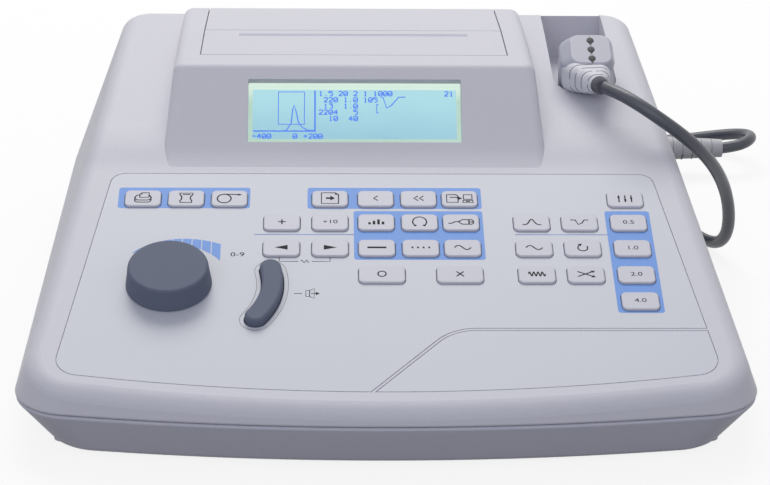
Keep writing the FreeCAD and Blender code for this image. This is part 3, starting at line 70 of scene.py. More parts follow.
def node(tree, kind, settings=None, links=None):
    """Adds a node, sets its properties or sockets by name or number, and joins sources to it."""
    made = tree.nodes.new(kind)
    for name, value in (settings or {}).items():
        if isinstance(name, str) and hasattr(made, name):
            setattr(made, name, value)
        else:
            made.inputs[name].default_value = value
    for name, source in (links or {}).items():
        tree.links.new(first_output(source), made.inputs[name])
    return made


def drive(made, **sources):
    """Joins sources to a node's sockets, which are named with _ for a space."""
    for socket, source in sources.items():
        made.id_data.links.new(first_output(source), made.inputs[socket.replace("_", " ")])


def material(name, colour, roughness, **sockets):
    """A new material with a plain colour and gloss, its node tree and its shader."""
    made = bpy.data.materials.new(name)
    made.use_nodes = True
    shader = made.node_tree.nodes["Principled BSDF"]
    shader.inputs["Base Color"].default_value = linear(colour)
    shader.inputs["Roughness"].default_value = roughness
    for socket, value in sockets.items():
        shader.inputs[socket.replace("_", " ")].default_value = value
    made.diffuse_color = linear(colour)
    return made, made.node_tree, shader


def patterned(name, colour, roughness, **sockets):
    """A new material and the link by which its patterns lie on a piece."""
    made, tree, shader = material(name, colour, roughness, **sockets)
    return made, tree, shader, {"Vector": node(tree, "ShaderNodeTexCoord").outputs["Object"]}


def seen_directly(tree):
    """1 where a camera, glossy or glass ray looks, and 0 for light that bounces."""
    rays = node(tree, "ShaderNodeLightPath")
    mirrored = node(tree, "ShaderNodeMath", {"operation": "MAXIMUM"},
                    {0: rays.outputs["Is Camera Ray"], 1: rays.outputs["Is Glossy Ray"]})
    return node(tree, "ShaderNodeMath", {"operation": "MAXIMUM"},
                {0: mirrored, 1: rays.outputs["Is Transmission Ray"]})


DAYLIGHT = 0.47          # strength all round, where 1 is white


def studio():
    world = bpy.data.worlds.new("white_studio")
    bpy.context.scene.world = world
    world.use_nodes = True
    tree = world.node_tree
    tree.nodes.clear()
    daylight = node(tree, "ShaderNodeBackground", {"Color": linear("#F6F6FC"), "Strength": DAYLIGHT})
    backdrop = node(tree, "ShaderNodeBackground", {"Color": linear("#FFFFFF"), "Strength": 1.0})
    mixed = node(tree, "ShaderNodeMixShader", links={0: seen_directly(tree), 1: daylight, 2: backdrop})
    node(tree, "ShaderNodeOutputWorld", links={0: mixed})


def as_piece(name, shape, finish):
    """Makes a finished bmesh an object in the scene, with its material."""
    mesh = bpy.data.meshes.new(name)
    shape.to_mesh(mesh)
    shape.free()
    mesh.materials.append(finish)
    piece = bpy.data.objects.new(name, mesh)
    bpy.context.scene.collection.objects.link(piece)
    return piece


TABLE_REACH = 7.0        # metres from the middle to each side
TABLE_GLOW = 0.85        # share of the white that shadows don't darken


def table_top():
    laminate, tree, shader = material("white_laminate", "#FFFFFF", 0.9)
    direct = seen_directly(tree)
    tone = node(tree, "ShaderNodeMix",
                {"data_type": "RGBA", 6: linear("#6E6E72"), 7: linear("#FFFFFF")}, {0: direct})
    drive(shader, Base_Color=tone.outputs[2])
    glow = node(tree, "ShaderNodeEmission", {"Color": linear("#FFFFFF"), "Strength": 1.0})
    share = node(tree, "ShaderNodeMath", {"operation": "MULTIPLY", 1: TABLE_GLOW}, {0: direct})
    mixed = node(tree, "ShaderNodeMixShader", links={0: share, 1: shader, 2: glow})
    drive(tree.nodes["Material Output"], Surface=mixed)
    top = bmesh.new()
    bmesh.ops.create_grid(top, x_segments=1, y_segments=1, size=TABLE_REACH)
    table = as_piece("table_top", top, laminate)


def lamp(name, place, target, width, height, watts, colour):
    light = bpy.data.lights.new(name, "AREA")
    light.shape = "RECTANGLE"
    light.size, light.size_y, light.energy = width, height, watts
    light.color = linear(colour)[:3]
    made = bpy.data.objects.new(name, light)
    made.location = place
    made.rotation_euler = (Vector(target) - Vector(place)).to_track_quat("-Z", "Y").to_euler()
    bpy.context.scene.collection.objects.link(made)


studio()
table_top()
lamp("overhead_softbox", place=(-0.1, 1.25, 1.75), target=(0, 0.02, 0.05), width=1.5, height=1.1,
     watts=22, colour="#FFFDF7")
lamp("front_window", place=(-0.35, -1.8, 1.15), target=(0, 0, 0.05), width=2.6, height=0.9,
     watts=10, colour="#E9ECFF")

EYE = Vector((-0.0325, -1.2314, 0.5672))
GAZE = Vector((0.0258, 0.9201, -0.3907))
ROLL = 0.0124            # radians about the line of sight
PICTURE_WIDTH = 770      # pixels
FOCAL_LENGTH = 2400      # pixels
SENSOR_WIDTH = 36.0      # millimetres
camera = bpy.data.objects.new("camera", bpy.data.cameras.new("camera"))
camera.location = EYE
camera.rotation_euler = (GAZE.to_track_quat("-Z", "Y") @ Quaternion((0, 0, 1), ROLL)).to_euler()
camera.data.sensor_width = SENSOR_WIDTH
camera.data.lens = FOCAL_LENGTH * SENSOR_WIDTH / PICTURE_WIDTH
bpy.context.scene.collection.objects.link(camera)
bpy.context.scene.camera = camera
bpy.context.scene.view_settings.view_transform = "Standard"

# -------------------- probe cable
# One smooth PVC-sheathed lead from the plug behind the case, through a put-away coil of four
# and a half turns, round the right side and up into the relief of the hand-held probe.
CABLE_DIAMETER = 7.4 * MM
ON_TABLE = CABLE_DIAMETER / 2
ON_TURN = 1.5 * CABLE_DIAMETER           # a turn that lies on another turn
COIL_CENTRE = Vector((0, 250, 0)) * MM
COIL_RADIUS = 40 * MM
COIL_TURNS = 4.5
TURN_PITCH = 7.5 * MM
POINTS_PER_TURN = 16

rear_route = [Vector(point) * MM for point in (
    (226, 222, 17), (236, 222.6, 18.2), (244, 228, 19.4), (248.4, 238, 19), (245.9, 249, 16.8),
    (237.5, 257, 13.8), (225, 262, 10.5), (207, 265.5, 6.7), (185, 268.4, 4.4), (158, 272, 3.7),
    (127, 278, 3.7), (95, 286, 4.6), (64, 293, 7.4), (33, 297, 10.2))]
front_route = [Vector(point) * MM for point in (
    (123, 45.6, 121.5), (131.6, 30, 122.9), (142.6, 17.5, 119.8), (154.5, 12.5, 112.9),
    (166.5, 14.5, 103.6), (179, 22.5, 91.2), (190.5, 36.5, 75.2), (199.5, 52, 57),
    (204.8, 62.5, 39), (206.8, 72, 21.5), (204.6, 82.5, 9.4), (198.8, 97, 4.3), (191, 115, 3.7),
    (186, 138, 3.7), (184.6, 162, 3.7), (181, 182, 3.7), (169.5, 199, 3.7), (151.5, 209, 3.7),
    (127, 211.5, 3.7), (97, 209, 3.7), (65, 205.2, 3.7), (32, 202.6, 3.7))]


def coil_turns():
    """An upper layer wound inwards, half a turn down on each side of the middle, and a lower one
    wound outwards, from the far side."""
    spread = TURN_PITCH * COIL_TURNS / 2
    count = int(COIL_TURNS * POINTS_PER_TURN)
    points = []
    for index in range(count + 1):
        turn = COIL_TURNS * index / count
        inward = 1 - abs(2 * turn / COIL_TURNS - 1)
        radius = COIL_RADIUS + spread / 2 - spread * inward
        sunk = min(1, max(0, turn - COIL_TURNS / 2 + 0.5))
        angle = math.pi / 2 + 2 * math.pi * turn
        points.append(COIL_CENTRE + Vector((math.cos(angle) * radius, math.sin(angle) * radius,
                                            ON_TURN + (ON_TABLE - ON_TURN) * sunk)))
    return points


def laid_cord(name, points, diameter):
    """A cord of round section on one smooth line."""
    curve = bpy.data.curves.new(name, "CURVE")
    curve.dimensions = "3D"
    spline = curve.splines.new("NURBS")
    spline.points.add(len(points) - 1)
    for control, point in zip(spline.points, points):
        control.co = (*point, 1)
    spline.order_u = 3
    spline.use_endpoint_u = True
    spline.resolution_u = 6
    curve.bevel_depth = diameter / 2
    curve.bevel_resolution = 5
    curve.use_fill_caps = True
    made = bpy.data.objects.new(name, curve)
    bpy.context.scene.collection.objects.link(made)
    return made


SHEATH_MOTTLE = 140      # patches per metre, about 7 mm each
SHEATH_SKIN = 1600       # per metre, 0.6 mm; the real skin is finer and wouldn't show


def pvc_sheath():
    """Plasticised PVC, extruded: smooth with a soft gloss and faint drag lines and dust."""
    sheath, tree, shader, on_piece = patterned("dark_grey_pvc_sheath", "#44464F", 0.36,
                                               Coat_Weight=0.12, Coat_Roughness=0.2)
    mottle = node(tree, "ShaderNodeTexNoise", {"Scale": SHEATH_MOTTLE, "Detail": 3.0}, on_piece)
    tone = node(tree, "ShaderNodeMix",
                {"data_type": "RGBA", 6: linear("#434651"), 7: linear("#4E525E")}, {0: mottle})
    dull = node(tree, "ShaderNodeMapRange", {"To Min": 0.28, "To Max": 0.42}, {"Value": mottle})
    skin = node(tree, "ShaderNodeTexNoise", {"Scale": SHEATH_SKIN, "Detail": 1.0}, on_piece)
    bump = node(tree, "ShaderNodeBump", {"Strength": 0.05, "Distance": 0.4 * MM}, {"Height": skin})
    drive(shader, Base_Color=tone.outputs[2], Roughness=dull, Normal=bump)
    return sheath


probe_cable = laid_cord("probe_cable", rear_route + coil_turns() + front_route[::-1], CABLE_DIAMETER)
probe_cable.data.materials.append(pvc_sheath())
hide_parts("cable_rear", "cable_coil", "cable_front")
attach(probe_cable, "base")

# -------------------- lower shell
# The tub that carries the boards and the rear sockets: injection-moulded ABS with a fine spark-eroded grain,
# screwed to the upper shell from below. It is the housing's plastic; its colour is set a little darker than
# the upper shell's as painted shade, for faces that turn down and away from the lamp.
GRAIN = 0.8 * MM         # the tool's grain is about 0.3 mm; it is drawn coarser so that it shows
TONE_CLOUDS = 14         # per metre, about 70 mm each
TONE_DRIFT = 0.025       # share of the colour's value, up and down
GLOSS_DRIFT = 0.06       # of the roughness, up and down


def moulded_abs(name, colour, roughness, grain_depth, grain=GRAIN):
    """Pigmented ABS from a spark-eroded tool: dull, lightly grained, a little uneven in tone."""
    plastic, tree, shader, on_piece = patterned(name, colour, roughness, IOR=1.53)
    cloud = node(tree, "ShaderNodeTexNoise", {"Scale": TONE_CLOUDS, "Detail": 2.0}, on_piece)
    fleck = node(tree, "ShaderNodeTexNoise", {"Scale": 1 / grain, "Detail": 2.0, "Roughness": 0.6},
                 on_piece)
    both = node(tree, "ShaderNodeMath", {"operation": "ADD"}, {0: cloud, 1: fleck})
    value = node(tree, "ShaderNodeMapRange",
                 {"From Min": 0.6, "From Max": 1.4, "To Min": 1 - TONE_DRIFT, "To Max": 1 + TONE_DRIFT},
                 {"Value": both})
    shade = node(tree, "ShaderNodeHueSaturation", {"Color": linear(colour)}, {"Value": value})
    gloss = node(tree, "ShaderNodeMapRange",
                 {"To Min": roughness - GLOSS_DRIFT, "To Max": roughness + GLOSS_DRIFT},
                 {"Value": cloud})
    bump = node(tree, "ShaderNodeBump", {"Strength": grain_depth, "Distance": grain / 2},
                {"Height": fleck})
    drive(shader, Base_Color=shade, Roughness=gloss, Normal=bump)
    return plastic


def finish_node(name, finish):
    """Gives a carried-over node its finish."""
    mesh = nodes[name].data
    mesh.materials.clear()
    mesh.materials.append(finish)


# The slightly darker colour is painted shade; the tub is moulded in the same plastic as the upper shell.
finish_node("lower_shell", moulded_abs("grey_grained_abs_painted_shade", "#C2C3CE", 0.55, 0.25))

# -------------------- feet and case screws
# Four moulded rubber feet pressed into recesses of the tub, and six zinc-plated pan-head
# screws with cross recesses that hold the two shells together.
RUBBER_BLOOM = 300       # patches per metre, about 3 mm each
PLATING_CLOUDS = 700     # per metre, about 1.4 mm each


def moulded_rubber(name, colour):
    """Moulded rubber with the soft grey bloom and dust that it gathers on a desk."""
    rubber, tree, shader, on_piece = patterned(name, colour, 0.8, Specular_IOR_Level=0.3)
    bloom = node(tree, "ShaderNodeTexNoise", {"Scale": RUBBER_BLOOM, "Detail": 4.0}, on_piece)
    tone = node(tree, "ShaderNodeMix", {"data_type": "RGBA", 6: linear(colour), 7: linear("#3A3A3C")},
                {0: bloom})
    bump = node(tree, "ShaderNodeBump", {"Strength": 0.2, "Distance": 0.2 * MM}, {"Height": bloom})
    drive(shader, Base_Color=tone.outputs[2], Normal=bump)
    return rubber


def plated_steel(name, colour, roughness):
    """Zinc-plated steel: bright, with the cloudiness that the plating bath leaves."""
    steel, tree, shader, on_piece = patterned(name, colour, roughness, Metallic=1.0)
    cloud = node(tree, "ShaderNodeTexNoise", {"Scale": PLATING_CLOUDS, "Detail": 3.0}, on_piece)
    gloss = node(tree, "ShaderNodeMapRange", {"To Min": roughness - 0.1, "To Max": roughness + 0.12},
                 {"Value": cloud})
    drive(shader, Roughness=gloss)
    return steel


black_rubber = moulded_rubber("black_moulded_rubber", "#222224")
zinc = plated_steel("zinc_plated_steel", "#C9C8C2", 0.35)
finish_node("rubber_feet", black_rubber)
finish_node("case_screws", zinc)

# -------------------- boards, pump and rear sockets
# Glass-fibre boards with green solder mask, the pump that sets the ear canal's pressure, and
# the row of sockets that stands on the main board's rear edge.
BOARD_TRACKS = 220       # per metre, about 4.5 mm apart


def solder_mask():
    """Green lacquer over etched copper, so faint lighter tracks show through the gloss."""
    mask, tree, shader, on_piece = patterned("green_solder_mask", "#1E5B36", 0.32)
    tracks = node(tree, "ShaderNodeTexBrick",
                  {"Scale": BOARD_TRACKS, "Mortar Size": 0.02, "Color1": linear("#1C5632"),
                   "Color2": linear("#1A4F2E"), "Mortar": linear("#2F7A4B")}, on_piece)
    drive(shader, Base_Color=tracks)
    return mask


green_board = solder_mask()
finish_node("main_board", green_board)
finish_node("key_board", green_board)
black_abs = moulded_abs("black_abs", "#2B2B2F", 0.5, 0.15)
finish_node("air_pump", black_abs)
finish_node("rear_sockets", black_abs)

# -------------------- upper shell
# The light housing with the keypad's deck, the shoulder, the raised display and printer
# housing and the probe's holder: one ABS moulding in pale lavender grey, finely grained.
light_abs = moulded_abs("light_grey_grained_abs", "#CFCFD8", 0.52, 0.22)
finish_node("upper_shell", light_abs)

# -------------------- keypad overlay
# A polyester film laminated into the deck, printed from behind: a cool grey field, blue
# zones round groups of keys, thin rules and marks in black.  The plate at the lower right is
# a piece of the same film, left blank.
KNOB_PLACE = (-112, 81)      # the knob's axis, in millimetres across and up the keypad
panel_up = Vector(joints["knob_turn"]["axis"]).normalized()
ACROSS = Vector((1, 0, 0))
panel_along = panel_up.cross(ACROSS)
panel_corner = (Vector(joints["knob_turn"]["pos_m"])
                - (ACROSS * KNOB_PLACE[0] + panel_along * KNOB_PLACE[1]) * MM)


def plane_frame(origin, along, up):
    """The matrix that takes millimetres on a plane to where the plane is, in metres."""
    turned = Matrix((ACROSS, along, up)).transposed().to_4x4()
    return Matrix.Translation(origin) @ turned @ Matrix.Scale(MM, 4)


def leaning_back(degrees):
    """The way up a plane that leans back by an angle, and the way out of it."""
    along = Vector((0, math.cos(math.radians(degrees)), math.sin(math.radians(degrees))))
    return along, ACROSS.cross(along)


keypad = plane_frame(panel_corner, panel_along, panel_up)

FILM_VELVET = 1500       # per metre, 0.7 mm; the real velvet is finer and wouldn't show
FILM_CLOUDS = 9          # per metre, about 110 mm each
INK_MOTTLE = 400         # per metre, 2.5 mm each


def satin_film(name, colour):
    """Polyester film with a hard satin coat, whose fine velvet grain breaks up the gloss."""
    film, tree, shader, on_piece = patterned(name, colour, 0.42, Coat_Weight=0.12, Coat_Roughness=0.35)
    velvet = node(tree, "ShaderNodeTexNoise", {"Scale": FILM_VELVET, "Detail": 1.0}, on_piece)
    cloud = node(tree, "ShaderNodeTexNoise", {"Scale": FILM_CLOUDS}, on_piece)
    value = node(tree, "ShaderNodeMapRange", {"To Min": 0.975, "To Max": 1.02}, {"Value": cloud})
    shade = node(tree, "ShaderNodeHueSaturation", {"Color": linear(colour)}, {"Value": value})
    bump = node(tree, "ShaderNodeBump", {"Strength": 0.08, "Distance": 0.3 * MM}, {"Height": velvet})
    drive(shader, Base_Color=shade, Normal=bump)
    return film


overlay_film = satin_film("grey_satin_polyester_film", "#C4C7D1")
finish_node("keypad_overlay", overlay_film)
finish_node("front_plate", overlay_film)


def screen_ink(name, colour, roughness=0.45):
    """Screen-printed ink: matt and dense, with the faint mottle that the mesh leaves."""
    ink, tree, shader, on_piece = patterned(name, colour, roughness)
    mottle = node(tree, "ShaderNodeTexNoise", {"Scale": INK_MOTTLE, "Detail": 2.0}, on_piece)
    value = node(tree, "ShaderNodeMapRange", {"To Min": 0.96, "To Max": 1.05}, {"Value": mottle})
    shade = node(tree, "ShaderNodeHueSaturation", {"Color": linear(colour)}, {"Value": value})
    drive(shader, Base_Color=shade)
    return ink


INK_DEPTH = 0.04         # millimetres; a real print is thinner, and this is the least that shows


def take_print(print_mesh, curve, placing):
    """Adds what a curve or a text makes to a print, placed by a matrix."""
    holder = bpy.data.objects.new("pen", curve)
    shape = bpy.data.meshes.new_from_object(holder)
    shape.transform(placing)
    print_mesh.from_mesh(shape)
    bpy.data.objects.remove(holder)
    bpy.data.curves.remove(curve)
    bpy.data.meshes.remove(shape)


def trace(curve, points, closed):
    """Adds straight runs through points on a plane or in space to a curve."""
    spline = curve.splines.new("POLY")
    spline.points.add(len(points) - 1)
    for control, point in zip(spline.points, points):
        control.co = (*Vector(point).to_3d(), 1)
    spline.use_cyclic_u = closed


def round_stroke(points, width, closed=False):
    """A curve of round section along points, in the unit that they are in."""
    curve = bpy.data.curves.new("stroke", "CURVE")
    curve.dimensions = "3D"
    trace(curve, points, closed)
    curve.bevel_depth = width / 2
    curve.bevel_resolution = 1
    curve.use_fill_caps = True
    return curve


on_film = Matrix.Translation((0, 0, INK_DEPTH / 2))


def draw_line(print_mesh, points, width, closed=False):
    """A stroke of a pen with round corners, squeezed to the ink's depth."""
    squeezed = Matrix.Diagonal((1, 1, INK_DEPTH / width, 1))
    take_print(print_mesh, round_stroke(points, width, closed), on_film @ squeezed)


def fill_shape(print_mesh, outlines):
    """A filled outline; further outlines inside it stay bare."""
    curve = bpy.data.curves.new("patch", "CURVE")
    curve.dimensions = "2D"
    curve.fill_mode = "BOTH"
    for points in outlines:
        trace(curve, points, True)
    curve.extrude = INK_DEPTH / 2
    take_print(print_mesh, curve, on_film)


DIGIT_STRETCH = 1.25     # the digits are wider than the typeface draws them


def set_digits(print_mesh, digits, height, place):
    """Plain digits or signs, centred on a place."""
    text = bpy.data.curves.new("digits", "FONT")
    text.body = digits
    text.size = height
    text.align_x = "CENTER"
    text.align_y = "CENTER"
    text.extrude = INK_DEPTH / 2
    widened = Matrix.Translation((*place, INK_DEPTH / 2)) @ Matrix.Diagonal((DIGIT_STRETCH, 1, 1, 1))
    take_print(print_mesh, text, widened)


def lay_print(print_mesh, name, plane, ink, body):
    """Lays a finished print on its plane as a piece that moves with a body."""
    bmesh.ops.remove_doubles(print_mesh, verts=print_mesh.verts, dist=INK_DEPTH / 8)
    bmesh.ops.recalc_face_normals(print_mesh, faces=print_mesh.faces)
    bmesh.ops.transform(print_mesh, matrix=plane, verts=print_mesh.verts)
    piece = as_piece(name, print_mesh, ink)
    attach(piece, body)


def arc(x, y, radius, start, end, steps=12, squash=1.0):
    """Points along a round stretch, from one angle to another in degrees."""
    angles = [math.radians(start + (end - start) * index / steps) for index in range(steps + 1)]
    return [(x + radius * math.cos(angle), y + radius * squash * math.sin(angle)) for angle in angles]


def rounded(x0, x1, s0, s1, radius):
    """A rectangle with round corners."""
    corners = ((x1 - radius, s1 - radius, 0), (x0 + radius, s1 - radius, 90),
               (x0 + radius, s0 + radius, 180), (x1 - radius, s0 + radius, 270))
    return [point for x, s, start in corners for point in arc(x, s, radius, start, start + 90, 6)]


to_keypad = keypad.inverted()
KEY_NAMES = sorted(name for name in nodes if name.endswith("_key"))
KEY_GAP = 0.35           # between a cap and the film, in millimetres
KEY_CORNER = 3.0


def cap_of(key):
    """A key cap's sides and top in the keypad's frame: x0, x1, s0, s1, top."""
    flat = [to_keypad @ vertex.co for vertex in nodes[key].data.vertices]
    cap = [point for point in flat if point.z > 0]
    return (min(p.x for p in cap), max(p.x for p in cap),
            min(p.y for p in cap), max(p.y for p in cap), max(p.z for p in cap))


caps = {key: cap_of(key) for key in KEY_NAMES}


def opening_of(key):
    """The film's opening for a key."""
    x0, x1, s0, s1, _ = caps[key]
    return rounded(x0 - KEY_GAP, x1 + KEY_GAP, s0 - KEY_GAP, s1 + KEY_GAP, KEY_CORNER + KEY_GAP)


BLUE_ZONES = {            # x0, x1, s0, s1
    "printing": (-142.6, -71.8, 143.3, 160.9),
    "recall": (-40.9, 52.8, 143.0, 161.0),
    "hearing": (-16.2, 52.8, 100.6, 141.0),
    "tones": (118.5, 142.5, 58.7, 141.2),
}
ZONE_CORNER = 1.6
RULE_WIDTH = 0.5
RULES = (((-69.1, 121.2), (-16.1, 121.2)), ((69.3, 121.3), (118.6, 121.3)))
screen_blue = screen_ink("blue_screen_ink", "#5A90DC")
legend_ink = screen_ink("black_screen_ink", "#0A0B16", 0.85)
rim_ink = screen_ink("taupe_screen_ink", "#7C7878")

blue_print = bmesh.new()
for x0, x1, s0, s1 in BLUE_ZONES.values():
    inside = [opening_of(key) for key in KEY_NAMES
              if x0 < caps[key][0] < x1 and s0 < caps[key][2] < s1]
    fill_shape(blue_print, [rounded(x0, x1, s0, s1, ZONE_CORNER)] + inside)
for ends in RULES:
    draw_line(blue_print, ends, RULE_WIDTH)

# The level scale behind the knob: bars with upright sides that grow to the right.
SCALE_INNER = 31.7
SCALE_GROWTH = 0.0952    # millimetres of height per degree
SCALE_START = 135        # degrees
BAR_PITCH = 5.15
BAR_WIDTH = 4.65
BAR_COUNT = 9
BAR_STEPS = 4            # straight runs along a bar's foot and head
SCALE_RIGHT = 25.7       # from the knob's axis
for index in range(BAR_COUNT):
    right = SCALE_RIGHT - index * BAR_PITCH
    across = [right - BAR_WIDTH * step / BAR_STEPS for step in range(BAR_STEPS + 1)]
    lower, upper = [], []
    for x in across:
        foot = math.sqrt(SCALE_INNER ** 2 - x ** 2)
        bearing = math.degrees(math.atan2(foot, x))
        outer = SCALE_INNER + SCALE_GROWTH * (SCALE_START - bearing)
        lower.append((KNOB_PLACE[0] + x, KNOB_PLACE[1] + foot))
        upper.append((KNOB_PLACE[0] + x, KNOB_PLACE[1] + math.sqrt(outer ** 2 - x ** 2)))
    fill_shape(blue_print, [lower + upper[::-1]])
lay_print(blue_print, "blue_zones", keypad, screen_blue, "base")

# Black marks on the film: a bracket under the arrow keys with a wave in its gap, the digits of
# the level scale, and a loudspeaker sign beside the tone bar.
marks = bmesh.new()
FINE = 0.45              # pens, in millimetres
FINER = 0.4
HAIRLINE = 0.3
draw_line(marks, [(-55.4, 102.3), (-55.4, 99.1), (-45.4, 99.1)], FINE)
draw_line(marks, [(-38.4, 99.1), (-28.8, 99.1), (-28.8, 102.3)], FINE)
draw_line(marks, [(-44.2 + 0.25 * step, 99.1 + 1.1 * math.sin(math.pi * step / 5))
                  for step in range(19)], FINER)
set_digits(marks, "0-9", 4.6, (-77.3, 104.6))
draw_line(marks, [(-47.4, 73.5), (-43.2, 73.5)], FINE)
draw_line(marks, [(-41.3, 71.2), (-41.3, 75.8), (-39.4, 75.8), (-37.0, 77.4), (-37.0, 69.6),
                  (-39.4, 71.2)], FINE, closed=True)
draw_line(marks, [(-39.4, 71.2), (-39.4, 75.8)], FINE)
draw_line(marks, [(-38.6, 73.5), (-35.6, 73.5)], RULE_WIDTH)
fill_shape(marks, [[(-36.2, 74.8), (-34.2, 73.5), (-36.2, 72.2)]])
lay_print(marks, "keypad_marks", keypad, legend_ink, "base")

# A thin outline round the tone bar.
BAR_CENTRE = (-106.5, 80)
BAR_BEND = 48
BAR_HALF = 5.5
BAR_START, BAR_END = -34, 13.5           # degrees
OUTLINE_AWAY = 2.7
outline = bmesh.new()
half = BAR_HALF + OUTLINE_AWAY
tips = [(BAR_CENTRE[0] + BAR_BEND * math.cos(math.radians(angle)),
         BAR_CENTRE[1] + BAR_BEND * math.sin(math.radians(angle))) for angle in (BAR_START, BAR_END)]
draw_line(outline, arc(*BAR_CENTRE, BAR_BEND + half, BAR_START, BAR_END)
          + arc(*tips[1], half, BAR_END, BAR_END + 180)[1:]
          + arc(*BAR_CENTRE, BAR_BEND - half, BAR_END, BAR_START)[1:]
          + arc(*tips[0], half, BAR_START + 180, BAR_START + 360)[1:-1], HAIRLINE, closed=True)
lay_print(outline, "tone_bar_outline", keypad, rim_ink, "base")

# -------------------- keys
# Thirty moulded ABS caps that stand proud of the film, each over a rubber dome, with a pad
# printed sign: pictures of what the key does, plain numbers, and the ring and cross that stand
# for the right and the left ear.
key_abs = moulded_abs("key_cap_abs", "#C4C5D0", 0.42, 0.08, grain=0.5 * MM)
PEN = 0.72               # millimetres
BOLD = 1.35
WAVE_REACH, WAVE_RISE = 4.4, 1.7


def tone_wave(waves, steps):
    """A sine that runs across a cap with so many waves."""
    return [(WAVE_REACH * (2 * step / steps - 1), WAVE_RISE * math.sin(math.tau * waves * step / steps))
            for step in range(steps + 1)]


